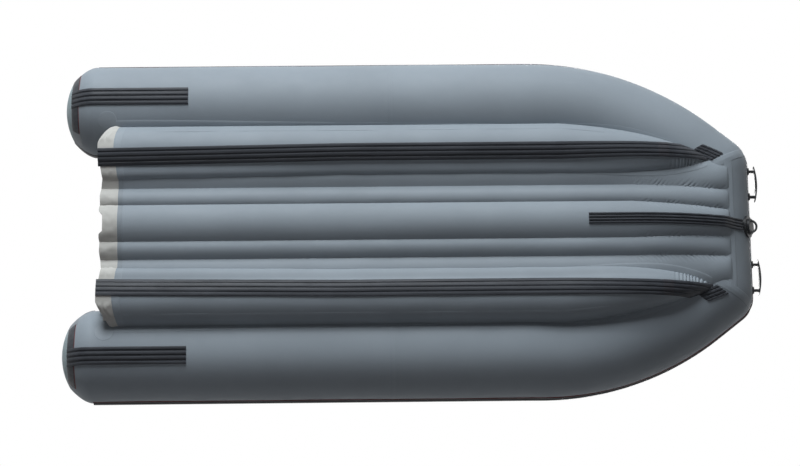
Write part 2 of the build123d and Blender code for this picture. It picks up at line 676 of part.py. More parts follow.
def rail(middle):
    """Bench rail: a base glued on the tube, an upright web and a round head."""
    start = middle - RAIL_L / 2
    half = degrees(RAIL_BASE_W / 2 / TUBE_R)
    base = sector(across(start, TUBE_SPREAD, TUBE_Z), TUBE_R + SEAT_GAP, TUBE_R + SEAT_GAP + RAIL_BASE_T,
                  RAIL_ANGLE - half, RAIL_ANGLE + half)
    form = extrude(base, RAIL_L, dir=(1, 0, 0))
    web = box(start, start + RAIL_L, RAIL_SEAT.Y - RAIL_WEB_T / 2, RAIL_SEAT.Y + RAIL_WEB_T / 2,
              RAIL_SEAT.Z - RAIL_WEB_T, HEAD_Z)
    head = extrude(disc(start, RAIL_SEAT.Y, HEAD_Z, RAIL_HEAD_R), RAIL_L, dir=(1, 0, 0))
    return form + (web - side_skin) + head


def runner(middle):
    """Channel under a bench's port end that hooks round the rail's head."""
    half = BENCH_W / 2
    block = box(middle - half, middle + half, RAIL_SEAT.Y - RUNNER_W / 2, RAIL_SEAT.Y + RUNNER_W / 2,
                HEAD_Z - RAIL_HEAD_R - RUNNER_FLOOR, BENCH_Z)
    head = disc(middle - half - 1, RAIL_SEAT.Y, HEAD_Z, RAIL_HEAD_R + RUNNER_PLAY)
    bore = extrude(head, BENCH_W + 2, dir=(1, 0, 0))
    slot = box(middle - half - 1, middle + half + 1, RAIL_SEAT.Y - RAIL_WEB_T / 2 - RUNNER_PLAY,
               RAIL_SEAT.Y + RAIL_WEB_T / 2 + RUNNER_PLAY, RAIL_SEAT.Z, HEAD_Z)
    return block - bore - slot


def bench(middle):
    plank = Pos(middle, 0, BENCH_Z + BENCH_T / 2) * Box(BENCH_W, BENCH_L, BENCH_T)
    return fillet(plank.edges().filter_by(Axis.Z), BENCH_CORNER_R)


BENCH_Z = HEAD_Z + RAIL_HEAD_R + RUNNER_FLOOR
places = {"rear": STERN_X + BENCH_REAR, "front": STERN_X + BENCH_FRONT}
for place, middle in places.items():
    save(f"bench_{place}", bench(middle))
    port_runner = runner(middle)
    save(f"bench_runners_{place}", port_runner, mirror(port_runner, about=Plane.XZ))
    port_rail = rail(middle)
    save(f"bench_rails_{place}", port_rail, mirror(port_rail, about=Plane.XZ))


# ---------------------------------------------------------------- oarlocks, valves and handles on the tubes
def on_tube(x, angle):
    """Plane on the port tube's skin at a place along it, facing out at an angle from outboard."""
    out = Vector(0, cos(radians(angle)), sin(radians(angle)))
    return Plane(origin=Vector(x, TUBE_SPREAD, TUBE_Z) + out * TUBE_R, x_dir=(1, 0, 0), z_dir=out)


def oarlock():
    """Glued base with a block, and the pin that carries an oar."""
    seat = on_tube(STERN_X + LOCK_X, LOCK_ANGLE)
    base = seat * Pos(0, 0, (LOCK_T - SINK) / 2) * Cylinder(LOCK_R, LOCK_T + SINK) - side_skin
    block = seat * Pos(0, 0, LOCK_T + LOCK_BLOCK_H / 2) * Cylinder(LOCK_BLOCK_R, LOCK_BLOCK_H)
    pin = seat * Pos(0, 0, LOCK_T + LOCK_BLOCK_H + LOCK_PIN_H / 2) * Cylinder(LOCK_PIN_R, LOCK_PIN_H)
    return base + block, pin


def valve(seat):
    """Air valve: a flange flush on the fabric and its cap."""
    flange = seat * Pos(0, 0, (VALVE_T - SINK) / 2) * Cylinder(VALVE_R, VALVE_T + SINK)
    cap_piece = seat * Pos(0, 0, VALVE_T + VALVE_CAP_H / 2) * Cylinder(VALVE_CAP_R, VALVE_CAP_H)
    return flange + cap_piece


def side_handle():
    """Webbing grab handle on top of the tube."""
    seat = on_tube(STERN_X + SIDE_HANDLE_X, 90)
    handle = Part()
    for side in (1, -1):
        end = seat * Pos(side * SIDE_HANDLE_L / 2, 0, 0)
        handle += end * Box(SIDE_HANDLE_PAD, SIDE_HANDLE_PAD, SIDE_HANDLE_T * 2)
        handle += end * Pos(0, 0, SIDE_HANDLE_RISE / 2) * Box(SIDE_HANDLE_T, SIDE_HANDLE_W, SIDE_HANDLE_RISE)
    grip = Box(SIDE_HANDLE_L + SIDE_HANDLE_T, SIDE_HANDLE_W, SIDE_HANDLE_T)
    handle += seat * Pos(0, 0, SIDE_HANDLE_RISE) * grip
    return handle - side_skin


lock_base, lock_pin = oarlock()
both("oarlock", lock_base)
both("oarlock_pin", lock_pin)
both("side_handle", side_handle())
both("air_valve", valve(on_tube(STERN_X + VALVE_X, VALVE_ANGLE)) - side_skin)
save("air_valve_bow", valve(at_bow(BOW_VALVE_ANGLE, 0)) - bow_skin)
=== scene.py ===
"""Looks of the inflatable boat: fabric skins, tapes, ribbed strips, fittings, light and camera."""
import json
import math

import bmesh
import bpy
import numpy as np
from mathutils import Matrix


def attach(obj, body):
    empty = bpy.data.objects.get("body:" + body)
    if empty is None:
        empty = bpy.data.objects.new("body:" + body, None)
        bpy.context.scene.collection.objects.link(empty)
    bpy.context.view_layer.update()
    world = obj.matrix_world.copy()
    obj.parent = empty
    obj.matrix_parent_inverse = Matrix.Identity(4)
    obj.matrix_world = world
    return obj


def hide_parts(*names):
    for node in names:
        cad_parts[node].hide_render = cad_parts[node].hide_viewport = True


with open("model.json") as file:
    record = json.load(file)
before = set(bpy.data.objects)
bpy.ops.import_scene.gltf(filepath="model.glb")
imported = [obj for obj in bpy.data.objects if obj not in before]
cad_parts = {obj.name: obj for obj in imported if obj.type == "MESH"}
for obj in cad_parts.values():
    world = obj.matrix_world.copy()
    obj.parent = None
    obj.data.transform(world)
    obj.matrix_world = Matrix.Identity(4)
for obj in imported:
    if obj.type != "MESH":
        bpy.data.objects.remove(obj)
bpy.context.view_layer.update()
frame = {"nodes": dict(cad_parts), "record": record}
NODES = frame["nodes"]

# ---- sizes of the solids, in metres
STERN_X = -1.754
BOW_X = 1.708
TUBE_R = 0.230
TUBE_SPREAD = 0.627
TUBE_Z = 0.307
RISE = math.radians(5)
RISE_R = 1.0
BEND = math.radians(37.6)
BEND_R = 1.265
MITRE_LEAD = 0.116
CONE_L = 0.118
CONE_END_R = 0.156
CAP_L = 0.042
FLOOR_X = STERN_X + 0.195
FLOOR_DRAFT = 0.027
FLOOR_TOP = 0.196
SEAM_SPREAD = 0.092
SEAM_SPREAD_BOW = 0.068
SIDE_SEAM_SPREAD = 0.179
SIDE_SEAM_SPREAD_BOW = 0.169
CENTER_BULGE = 0.035
INNER_BULGE = 0.016
OUTER_BULGE = 0.024
DECK_BULGE = 0.014
SIDE_SEAM_LIFT = 0.019
FLOOR_EDGE_LIFT = 0.070
FLOOR_EDGE_OVERLAP = 0.036
FLOOR_BEND = math.radians(26)
SPONSON_R = 0.134
SPONSON_SPREAD = 0.371
SPONSON_NOSE = 0.761
SPONSON_TIP_SPREAD = 0.317
SPONSON_TIP_RISE = 0.165
SPONSON_TIP_BACK = 0.217
STRIP_T = 0.003
RIB_H = 0.005
RIB_W = 0.016
RIB_COUNT = 4
RIB_SHARP = 28
STRIP_W = 0.082
STRIP_SPREAD = 0.3425
STRIP_TIP_SPREAD = 0.316
CENTER_STRIP_W = 0.056
CENTER_STRIP_L = 0.850
STERN_STRIP_W = 0.086
STERN_STRIP_L = 0.632
STERN_STRIP_OUT = 0.026
BAND_STRIP_W = 0.038
BAND_STRIP_ARC = math.radians(54)
GUARD_W = 0.060
PATCH_BACK = 0.235
PATCH_SPREAD = 0.358
PATCH_L = 0.114
PATCH_W = 0.062
PATCH_ANGLE = math.radians(-21.6)
PATCH_LEAN = 0.042
STRAKE_H = 0.060
RING_ANGLE = math.radians(-27)

# ---- sizes of the skins' own details, in metres
TAPE_EDGE = 0.0002
STRIP_EDGE = 0.0006
# the outer chamber's swell beside the sponson
SWELL = 0.015
SWELL_END_X = 0.95
SWELL_FADE = 0.40
PILLOW = 0.075
BAND_IN = 0.040
# gathers beside the floor's seams and inboard of the sponson's nose
PUCKER_PITCH = 0.026
GATHER_PITCH = 0.019
GATHER_DEPTH = 0.0095
# how much fuller the sponson's inboard flank is, and between which angles
FLANK_FULLER = 0.15
FLANK_FULLER_STERN = 0.10
FLANK = tuple(map(math.radians, (183, 202, 212, 236)))
# the angles under the keel strip, which have no folds
UNDER_STRIP = tuple(map(math.radians, (222, 234, 280, 290)))
FOLD = 0.0030
FOLD_WAVE = 0.05
WRAP_L = 0.098
# aft of here the keel strip lies nearer the middle, by this much at its end
DRAW_X = -0.35
STRIP_DRAW = 0.015
SPLICE_X = (1.215, 1.268)
END_TAPE = (0.092, 0.122)
AMIDSHIP_SEAM_X = -0.125
CROSS_SEAM_W = 0.022
DISC_R = 0.047
DISC_X = -1.525
DISC_ANGLE = math.radians(-114)
CORNER_R = 0.15


def unit(vectors):
    """The same directions, each of length 1."""
    return vectors / np.linalg.norm(vectors, axis=-1, keepdims=True)


def grid(first, second):
    return np.meshgrid(first, second, indexing="ij")


def circle(count):
    """Angles all the way round."""
    return np.linspace(0, 2 * math.pi, count, endpoint=False)


# ---- derived places
CONE_X = STERN_X + CAP_L
STRAIGHT_X = CONE_X + CONE_L
BOW_AXIS_X = BOW_X - TUBE_R
SLOPE_RUN = BEND_R * math.sin(BEND) + MITRE_LEAD * math.cos(BEND)
RISE_END_X = BOW_AXIS_X - SLOPE_RUN * math.cos(RISE)
RISE_START_X = RISE_END_X - RISE_R * math.sin(RISE)
RISE_END_Z = TUBE_Z + RISE_R * (1 - math.cos(RISE))
BOW_AXIS_Z = RISE_END_Z + SLOPE_RUN * math.sin(RISE)
CORNER_Y = TUBE_SPREAD - BEND_R * (1 - math.cos(BEND)) - MITRE_LEAD * math.sin(BEND)
RUN_STRAIGHT = RISE_START_X - STRAIGHT_X
RUN_RISE = RISE_R * RISE
RUN_BEND = BEND_R * BEND
RUN_SIDE = RUN_STRAIGHT + RUN_RISE + RUN_BEND
X = np.array([1.0, 0.0, 0.0])
Y = np.array([0.0, 1.0, 0.0])
UP = np.array([0.0, 0.0, 1.0])
SLOPE = X * math.cos(RISE) + UP * math.sin(RISE)
HEADING = SLOPE * math.cos(BEND) - Y * math.sin(BEND)
CORNER = np.array([BOW_AXIS_X, CORNER_Y, BOW_AXIS_Z])
MITRE = unit(HEADING - Y)
CONTACT_X = BOW_AXIS_X + TUBE_R * math.sin(FLOOR_BEND)
CONTACT_Z = BOW_AXIS_Z - TUBE_R * math.cos(FLOOR_BEND)
SEAM_LOW = FLOOR_DRAFT + CENTER_BULGE
SIDE_SEAM_LOW = SEAM_LOW + SIDE_SEAM_LIFT
EDGE_LOW = SIDE_SEAM_LOW + FLOOR_EDGE_LIFT
SEAM_HIGH = FLOOR_TOP - DECK_BULGE
FLOOR_RUN = (CONTACT_Z - SEAM_LOW) * math.sin(FLOOR_BEND) / (1 - math.cos(FLOOR_BEND))
FLOOR_BEND_X = CONTACT_X - FLOOR_RUN
EDGE_SPREAD = TUBE_SPREAD - math.sqrt(TUBE_R ** 2 - (TUBE_Z - EDGE_LOW) ** 2) + FLOOR_EDGE_OVERLAP
SPONSON_Z = RIB_H + STRIP_T + SPONSON_R
TIP_X = BOW_X - SPONSON_TIP_BACK
NOSE_X = TIP_X - SPONSON_NOSE
CORNER_OUT = unit(HEADING + Y)
CORNER_RUN = CORNER_R * math.tan((math.pi / 2 - BEND) / 2)
MIRROR = np.array([1.0, -1.0, 1.0])
SIDES = (("port", 1), ("starboard", -1))


# ---- materials
def make_material(name, rough, specular=0.5):
    """A new Principled material, its node tree, its shader and the piece's own coordinates."""
    mat = bpy.data.materials.new(name)
    mat.use_nodes = True
    tree = mat.node_tree
    shader = tree.nodes["Principled BSDF"]
    shader.inputs["Roughness"].default_value = rough
    shader.inputs["Specular IOR Level"].default_value = specular
    return mat, tree, shader, add_node(tree, "TexCoord").outputs["Object"]


def add_node(tree, kind, **inputs):
    """A new shader node with these inputs set."""
    node = tree.nodes.new("ShaderNode" + kind)
    for key, value in inputs.items():
        node.inputs[key].default_value = value
    return node


def noise(tree, vector, scale, detail=3.0, rough=0.5, stretch=None):
    """Noise texture in metres, stretched along the axes where stretch is given."""
    if stretch:
        mapping = add_node(tree, "Mapping", Scale=stretch)
        tree.links.new(vector, mapping.inputs["Vector"])
        vector = mapping.outputs["Vector"]
    node = add_node(tree, "TexNoise", Scale=scale, Detail=detail, Roughness=rough)
    tree.links.new(vector, node.inputs["Vector"])
    return node.outputs["Fac"]


def ramp(tree, value, low, high, out_low=0.0, out_high=1.0):
    """Map a value from one span to another, held at its ends."""
    spans = {"From Min": low, "From Max": high, "To Min": out_low, "To Max": out_high}
    node = add_node(tree, "MapRange", **spans)
    tree.links.new(value, node.inputs["Value"])
    return node.outputs["Result"]


def mix(tree, factor, a, b):
    """Blend two colours, each a colour or a socket."""
    node = add_node(tree, "Mix")
    node.data_type = "RGBA"
    tree.links.new(factor, node.inputs[0])
    for socket, value in ((node.inputs[6], a), (node.inputs[7], b)):
        if isinstance(value, bpy.types.NodeSocket):
            tree.links.new(value, socket)
        else:
            socket.default_value = (*value, 1)
    return node.outputs[2]


def maths(tree, operation, a, b=None):
    """Sum, product or the like of two values, each a number or a socket."""
    node = add_node(tree, "Math")
    node.operation = operation
    for socket, value in zip(node.inputs, (a, b)):
        if isinstance(value, bpy.types.NodeSocket):
            tree.links.new(value, socket)
        elif value is not None:
            socket.default_value = value
    return node.outputs[0]


def bump(tree, shader, height, distance, strength=1.0):
    """Add a bump on top of the shader's present normal."""
    node = add_node(tree, "Bump", Distance=distance, Strength=strength)
    tree.links.new(height, node.inputs["Height"])
    if shader.inputs["Normal"].links:
        tree.links.new(shader.inputs["Normal"].links[0].from_socket, node.inputs["Normal"])
    tree.links.new(node.outputs["Normal"], shader.inputs["Normal"])


def weave(tree, where, thread):
    """Crossing threads of a coated cloth, from the piece's own length and width."""
    split = add_node(tree, "SeparateXYZ")
    tree.links.new(where.node.outputs["UV"], split.inputs[0])
    waves = [maths(tree, "SINE", maths(tree, "MULTIPLY", split.outputs[axis], 2 * math.pi / thread))
             for axis in ("X", "Y")]
    return maths(tree, "MULTIPLY", *waves)


def tint(colour, gain):
    """A lighter or darker colour."""
    return tuple(min(1.0, channel * gain) for channel in colour)


def set_looks(tree, shader, base, pattern, smoothest, roughest):
    """Give a shader its colour, and a roughness that follows a pattern."""
    tree.links.new(base, shader.inputs["Base Color"])
    tree.links.new(ramp(tree, pattern, 0.3, 0.7, smoothest, roughest), shader.inputs["Roughness"])


def coated_fabric(name, colour, rough, specular, thread=0.0016, crinkle=0.0006):
    """Coated boat fabric: slight blotches, faint rub marks, a fine weave and soft waves."""
    mat, tree, shader, where = make_material(name, rough, specular)
    blotch = ramp(tree, noise(tree, where, 2.3, 5, 0.6), 0.35, 0.65)
    base = mix(tree, blotch, tint(colour, 0.955), tint(colour, 1.035))
    rubs = ramp(tree, noise(tree, where, 9, 6, 0.7, (0.35, 3, 3)), 0.62, 0.8, 0, 0.35)
    base = mix(tree, rubs, base, tint(colour, 1.18))
    grain = ramp(tree, noise(tree, where, 900, 2, 0.6), 0.3, 0.7, 0, 0.12)
    base = mix(tree, grain, base, tint(colour, 0.7))
    set_looks(tree, shader, base, noise(tree, where, 14, 4, 0.6), rough - 0.05, rough + 0.06)
    bump(tree, shader, noise(tree, where, 7, 3, 0.5), crinkle, 0.6)
    bump(tree, shader, weave(tree, where, thread), 0.00012, 0.3)
    return mat


def ribbed_rubber(name, colour, rough, specular):
    """Satin black strip with streaks along its length and a dusty bloom."""
    mat, tree, shader, where = make_material(name, rough, specular)
    streaks = ramp(tree, noise(tree, where, 14, 5, 0.6, (0.25, 4, 4)), 0.35, 0.72)
    base = mix(tree, streaks, colour, tint(colour, 1.5))
    dust = ramp(tree, noise(tree, where, 5, 6, 0.65), 0.56, 0.78, 0, 0.3)
    base = mix(tree, dust, base, tint(colour, 2.4))
    set_looks(tree, shader, base, noise(tree, where, 30, 4, 0.6, (0.4, 1, 1)), rough - 0.07, rough + 0.09)
    bump(tree, shader, noise(tree, where, 220, 3, 0.6), 0.0002, 0.35)
    return mat


def moulded(name, colour, rough, specular=0.5, pebble=600):
    """Moulded plastic: a fine pebble grain with paler rubbed patches."""
    mat, tree, shader, where = make_material(name, rough, specular)
    rub = ramp(tree, noise(tree, where, 24, 5, 0.6), 0.5, 0.78, 0, 0.5)
    base = mix(tree, rub, colour, tint(colour, 1.9))
    set_looks(tree, shader, base, noise(tree, where, 60, 3, 0.5), rough - 0.06, rough + 0.08)
    bump(tree, shader, noise(tree, where, pebble, 2, 0.5), 0.00015, 0.4)
    return mat


def metal(name, colour, rough, brush):
    """Satin metal brushed along its length."""
    mat, tree, shader, where = make_material(name, rough)
    shader.inputs["Metallic"].default_value = 1.0
    lines = noise(tree, where, brush, 4, 0.6, (0.05, 1, 1))
    set_looks(tree, shader, mix(tree, lines, tint(colour, 0.86), colour), lines, rough - 0.05, rough + 0.1)
    bump(tree, shader, lines, 0.00008, 0.3)
    return mat


def wood(name, pale, dark, rough, along):
    """Varnished or painted plywood: long grain lines with fine pores."""
    mat, tree, shader, where = make_material(name, rough)
    grain = noise(tree, where, 5, 6, 0.65, tuple(1.0 if axis == along else 9.0 for axis in range(3)))
    fine = noise(tree, where, 60, 4, 0.6, tuple(0.06 if axis == along else 3.0 for axis in range(3)))
    base = mix(tree, ramp(tree, grain, 0.3, 0.7), dark, pale)
    base = mix(tree, ramp(tree, fine, 0.5, 0.75, 0, 0.45), base, tint(dark, 0.75))
    set_looks(tree, shader, base, grain, rough - 0.05, rough + 0.08)
    bump(tree, shader, fine, 0.0003, 0.25)
    return mat


HULL_GREY = (0.238, 0.272, 0.306)
HULL = coated_fabric("hull_pvc", HULL_GREY, 0.60, 0.2)
TAPE = coated_fabric("seam_tape_pvc", tint(HULL_GREY, 1.05), 0.56, 0.24)
DARK_TAPE = coated_fabric("end_tape_pvc", tint(HULL_GREY, 0.88), 0.56, 0.24)
WORN_TAPE = coated_fabric("worn_tape_pvc", tint(HULL_GREY, 0.72), 0.5, 0.42)
CAP = coated_fabric("cap_pvc", (0.35, 0.43, 0.46), 0.62, 0.15)
LIGHT = coated_fabric("light_pvc", (0.455, 0.45, 0.43), 0.62, 0.1, crinkle=0.0015)
STRIP = ribbed_rubber("strip_rubber", (0.040, 0.043, 0.050), 0.42, 0.12)
WORN_STRIP = ribbed_rubber("worn_strip_rubber", (0.041, 0.041, 0.047), 0.36, 0.2)
RUBBER = ribbed_rubber("guard_rubber", (0.012, 0.012, 0.014), 0.45, 0.15)
RED = moulded("red_piping", (0.12, 0.016, 0.014), 0.55, 0.3)
PLASTIC = moulded("black_plastic", (0.013, 0.014, 0.016), 0.42, 0.3)
STEEL = metal("steel", (0.62, 0.62, 0.61), 0.28, 300)
ALUMINIUM = metal("aluminium", (0.66, 0.67, 0.68), 0.34, 220)
PLYWOOD = wood("transom_paint", (0.060, 0.066, 0.074), (0.045, 0.050, 0.057), 0.4, 1)
BENCH_WOOD = wood("bench_ply", (0.46, 0.30, 0.16), (0.30, 0.175, 0.085), 0.33, 1)
COATED_STEEL = moulded("black_coated_steel", (0.012, 0.013, 0.015), 0.36, 0.35)
# each slot's materials; the first covers the solids, and the others are used on skins and other pieces
SLOTS = {
    "pin_plastic": (PLASTIC,), "black_moulding": (PLASTIC,), "steel": (STEEL, COATED_STEEL),
    "plywood": (PLYWOOD,), "aluminium": (ALUMINIUM,), "bench_wood": (BENCH_WOOD,),
    "hull_fabric": (HULL, TAPE, DARK_TAPE, WORN_TAPE, RED), "cap_fabric": (CAP,), "light_fabric": (LIGHT,),
    "black_strip": (STRIP, WORN_STRIP), "black_rubber": (RUBBER,),
}


def cover(mesh, material):
    """Make this the mesh's only material."""
    mesh.materials.clear()
    mesh.materials.append(material)


for part in frame["record"]["subparts"]:
    cover(NODES[part["node"]].data, SLOTS[part["material_slot"]][0])
cover(NODES["bow_ring"].data, COATED_STEEL)


# ---- mesh making
OPEN = (False, False)


def add_object(name, data):
    thing = bpy.data.objects.new(name, data)
    bpy.context.scene.collection.objects.link(thing)
    return thing


def add_piece(name, mesh, material, replaces, sharp):
    """Show a mesh as a piece of the hull, smooth but for edges sharper than an angle in degrees."""
    mesh.shade_smooth()
    mesh.set_sharp_from_angle(angle=math.radians(sharp))
    cover(mesh, material)
    piece = add_object(name, mesh)
    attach(piece, "hull")
    if replaces:
        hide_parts(*replaces)


def loft(name, rings, material, caps=(True, True), replaces=(), sharp=35.0):
    """Skin a row of rings, each a loop of points, into one piece that faces outward."""
    rings = np.asarray(rings, float)
    rows, count, _ = rings.shape
    points = rings.reshape(-1, 3)
    i, j = grid(np.arange(rows - 1), np.arange(count))
    after = (j + 1) % count
    quads = np.stack([i * count + j, i * count + after, (i + 1) * count + after, (i + 1) * count + j], -1)
    quads = quads.reshape(-1, 4)
    corner = points[quads] - points.mean(0)
    volume = np.einsum("ij,ij->i", corner[:, 0], np.cross(corner[:, 1], corner[:, 2])).sum()
    volume += np.einsum("ij,ij->i", corner[:, 0], np.cross(corner[:, 2], corner[:, 3])).sum()
    length = np.r_[0, np.cumsum(np.linalg.norm(np.diff(rings, axis=0), axis=2).mean(1))]
    steps = np.linalg.norm(rings - np.roll(rings, -1, axis=1), axis=2).mean(0)
    around = np.r_[0, np.cumsum(steps)]
    along = length[np.stack([i, i, i + 1, i + 1], -1)]
    across = around[np.stack([j, j + 1, j + 1, j], -1)]
    uvs = np.stack([along, across], -1).reshape(-1, 2)
    faces = quads.tolist()
    if caps[0]:
        faces.append(list(range(count))[::-1])
        uvs = np.r_[uvs, points[faces[-1]][:, 1:]]
    if caps[1]:
        faces.append([(rows - 1) * count + k for k in range(count)])
        uvs = np.r_[uvs, points[faces[-1]][:, 1:]]
    mesh = bpy.data.meshes.new(name)
    mesh.from_pydata(points.tolist(), [], faces)
    layer = mesh.uv_layers.new(name="UVMap")
    layer.data.foreach_set("uv", uvs.astype(np.float32).ravel())
    if volume < 0:
        mesh.flip_normals()
    add_piece(name, mesh, material, replaces, sharp)


def both(name, rings, material, replaces=(), **more):
    """A port piece and its mirror image; replaces are node names without their side."""
    rings = np.asarray(rings, float)
    for side, sign in SIDES:
        named = [f"{node}_{side}" for node in replaces]
        turned = rings if sign > 0 else rings * MIRROR
        loft(f"{name}_{side}", turned, material, replaces=named, **more)


def ripple(points, seed, amount, wave):
    """Smooth unevenness of a blown-up skin at each point: the same on each run."""
    random = np.random.default_rng(seed)
    total = np.zeros(points.shape[:-1])
    for _ in range(10):
        direction = random.normal(size=3)
        direction *= 2 * math.pi / (wave * random.uniform(0.6, 1.8) * np.linalg.norm(direction))
        total += np.sin(points @ direction + random.uniform(0, 2 * math.pi))
    return total * amount / 3


def smooth(share):
    """Ease a share from 0 to 1 at both ends."""
    return share * share * (3 - 2 * share)


def window(value, start, full, fade, end):
    """1 between full and fade, falling smoothly to 0 at start and end."""
    rise = np.clip((value - start) / (full - start), 0, 1)
    fall = np.clip((end - value) / (end - fade), 0, 1)
    return smooth(rise) * smooth(fall)


def crowded(count):
    """Shares from -1 to 1 that lie closer together towards both ends."""
    return np.sin(np.linspace(-math.pi / 2, math.pi / 2, count))


def stout(node, extra, material):
    """Replace a thin solid by its own form, a little fuller all round."""
    source = NODES[node]
    form = bmesh.new()
    form.from_mesh(source.data)
    form.transform(source.matrix_world)
    bmesh.ops.remove_doubles(form, verts=form.verts, dist=0.00002)
    form.normal_update()
    for vert, normal in [(vert, vert.normal.copy()) for vert in form.verts]:
        vert.co += normal * extra
    mesh = bpy.data.meshes.new(node + "_form")
    form.to_mesh(mesh)
    form.free()
    add_piece(node + "_form", mesh, material, (node,), 50)


stout("bow_handle_port", 0.0016, PLASTIC)
stout("bow_handle_starboard", 0.0016, PLASTIC)
stout("bow_ring", 0.0012, COATED_STEEL)


# ---- the port tube
def run_at(run):
    """Centre, outboard and up of the port tube at a run from the straight part's after end, up to the lead."""
    run = np.asarray(run, float)[..., None]
    rise = np.clip((run - RUN_STRAIGHT) / RISE_R, 0, RISE)
    bend = np.clip((run - RUN_STRAIGHT - RUN_RISE) / BEND_R, 0, BEND)
    straight = np.minimum(run, RUN_STRAIGHT)
    center = np.array([STRAIGHT_X, TUBE_SPREAD, TUBE_Z]) + straight * X
    center = center + RISE_R * (np.sin(rise) * X + (1 - np.cos(rise)) * UP)
    center = center + BEND_R * (np.sin(bend) * SLOPE - (1 - np.cos(bend)) * Y)
    tangent = np.cos(rise) * X + np.sin(rise) * UP
    up = np.cos(rise) * UP - np.sin(rise) * X
    return center, Y * np.cos(bend) + tangent * np.sin(bend), up


def cone_radius(x):
    """Radius of the rounded stern cone, which runs smoothly into the tube."""
    share = np.clip((STRAIGHT_X - x) / CONE_L, 0, 1)
    return TUBE_R - (TUBE_R - CONE_END_R) * share ** 1.85


def to_mitre(points):
    """Slide points of the lead along its heading onto the mitre plane."""
    return points + ((CORNER - points) @ MITRE / (HEADING @ MITRE))[..., None] * HEADING


def round_corner(points, radial, distance):
    """Draw points in near the mitre's outer corner, where the skin is rounded."""
    depth = CORNER_R - np.sqrt(CORNER_R ** 2 - np.clip(CORNER_RUN - distance, 0, CORNER_RUN) ** 2)
    share = np.clip(radial @ CORNER_OUT, 0, 1) / math.cos((math.pi / 2 - BEND) / 2)
    return points - (depth * share)[..., None] * CORNER_OUT


def on_tube(run, angle, lift=0.0):
    """Point on the port tube's skin; angle is from outboard up.

    A negative run is on the stern cone. Runs past RUN_SIDE share out the lead up to the mitre.
    """
    run, angle, lift = np.broadcast_arrays(np.asarray(run, float), np.asarray(angle, float), lift)
    center, outboard, up = run_at(np.clip(run, 0, RUN_SIDE))
    back = np.minimum(run, 0)
    radius = np.where(run < 0, cone_radius(np.maximum(STRAIGHT_X + back, CONE_X)), TUBE_R) + lift
    center = center + back[..., None] * X
    radial = outboard * np.cos(angle)[..., None] + up * np.sin(angle)[..., None]
    points = center + radial * radius[..., None]
    share = np.clip((run - RUN_SIDE) / MITRE_LEAD, 0, 1)[..., None]
    reach = to_mitre(points) - points
    left = np.linalg.norm(reach, axis=-1) * (1 - share[..., 0]) + np.maximum(RUN_SIDE - run, 0)
    return round_corner(points + reach * share, radial, left)


def bow_end(angle, lift=0.0):
    """Distance from the middle to the port mitre at each angle round the bow tube."""
    reach = TUBE_R + lift
    flat = np.stack([BOW_AXIS_X + reach * np.cos(angle), 0 * angle, BOW_AXIS_Z + reach * np.sin(angle)], -1)
    return -((flat - CORNER) @ MITRE) / MITRE[1]


def on_bow(angle, y, lift=0.0):
    """Point on the bow tube's skin; angle is from forward up."""
    angle, y, lift = np.broadcast_arrays(np.asarray(angle, float), np.asarray(y, float), lift)
    radial = np.stack([np.cos(angle), 0 * angle, np.sin(angle)], -1)
    points = np.array([BOW_AXIS_X, 0, BOW_AXIS_Z]) + radial * (TUBE_R + lift)[..., None]
    points[..., 1] = np.abs(y)
    points = round_corner(points, radial, np.maximum(bow_end(angle, lift) - np.abs(y), 0))
    points[..., 1] *= np.where(y < 0, -1, 1)
    return points


AROUND = circle(132)
cone_runs = -CONE_L * (1 - np.sin(np.linspace(0, math.pi / 2, 16)))
side_runs = np.r_[np.linspace(0, RUN_STRAIGHT, 84)[:-1], np.linspace(RUN_STRAIGHT, RUN_SIDE, 66)[:-1],
                  np.linspace(RUN_SIDE, RUN_SIDE + MITRE_LEAD, 14)]
tube_runs = np.r_[cone_runs[:-1], side_runs]
skin = on_tube(tube_runs[:, None], AROUND[None, :])
ends = np.clip((RUN_SIDE - tube_runs) / 0.05, 0, 1) * np.clip((tube_runs + CONE_L) / 0.05, 0, 1)
uneven = ripple(skin, 3, 0.0006, 0.35) * ends[:, None]
both("tube_skin", on_tube(tube_runs[:, None], AROUND[None, :], uneven), HULL, replaces=("tube",), caps=OPEN)

# domed caps on the cones
DOME_R = (CONE_END_R ** 2 + CAP_L ** 2) / (2 * CAP_L)
tilt = np.linspace(0, math.asin(CONE_END_R / DOME_R), 20)[1:, None]
turn = circle(96)[None, :]
cap_rings = np.stack([STERN_X + DOME_R * (1 - np.cos(tilt)) + 0 * turn,
                      TUBE_SPREAD + DOME_R * np.sin(tilt) * np.cos(turn),
                      TUBE_Z + DOME_R * np.sin(tilt) * np.sin(turn)], -1)
both("cap_skin", cap_rings, CAP, replaces=("tube_cap",), caps=(True, False))

# the bow tube
bow_half = bow_end(AROUND)
rows = crowded(75)
bow_y = rows[:, None] * bow_half[None, :]
uneven = ripple(on_bow(AROUND[None, :], bow_y), 8, 0.0005, 0.3) * (1 - rows[:, None] ** 8)
loft("bow_skin", on_bow(AROUND[None, :], bow_y, uneven), HULL, replaces=("tube_bow",), caps=OPEN)


# ---- flat pieces glued on the skins
def strip_rings(surface, along, places, heights, sink=0.002):
    """Closed rings of a strip: its face, then its back sunk a little into what carries it."""
    grid_u, grid_v = grid(along, places)
    face = surface(grid_u, grid_v, np.broadcast_to(heights, grid_u.shape))
    back = surface(grid_u, grid_v, np.full(grid_u.shape, -sink))
    return np.concatenate([face, back[:, ::-1]], axis=1)


def thin_edged(thick, steps):
    """Heights across a tape: thin at both edges."""
    return np.r_[TAPE_EDGE, np.full(steps, thick), TAPE_EDGE]


def tape_profile(low, high, thick=0.0009, steps=7):
    """Places across a tape and its heights."""
    places = np.r_[low, np.linspace(low + 0.0012, high - 0.0012, steps), high]
    return places, thin_edged(thick, steps)


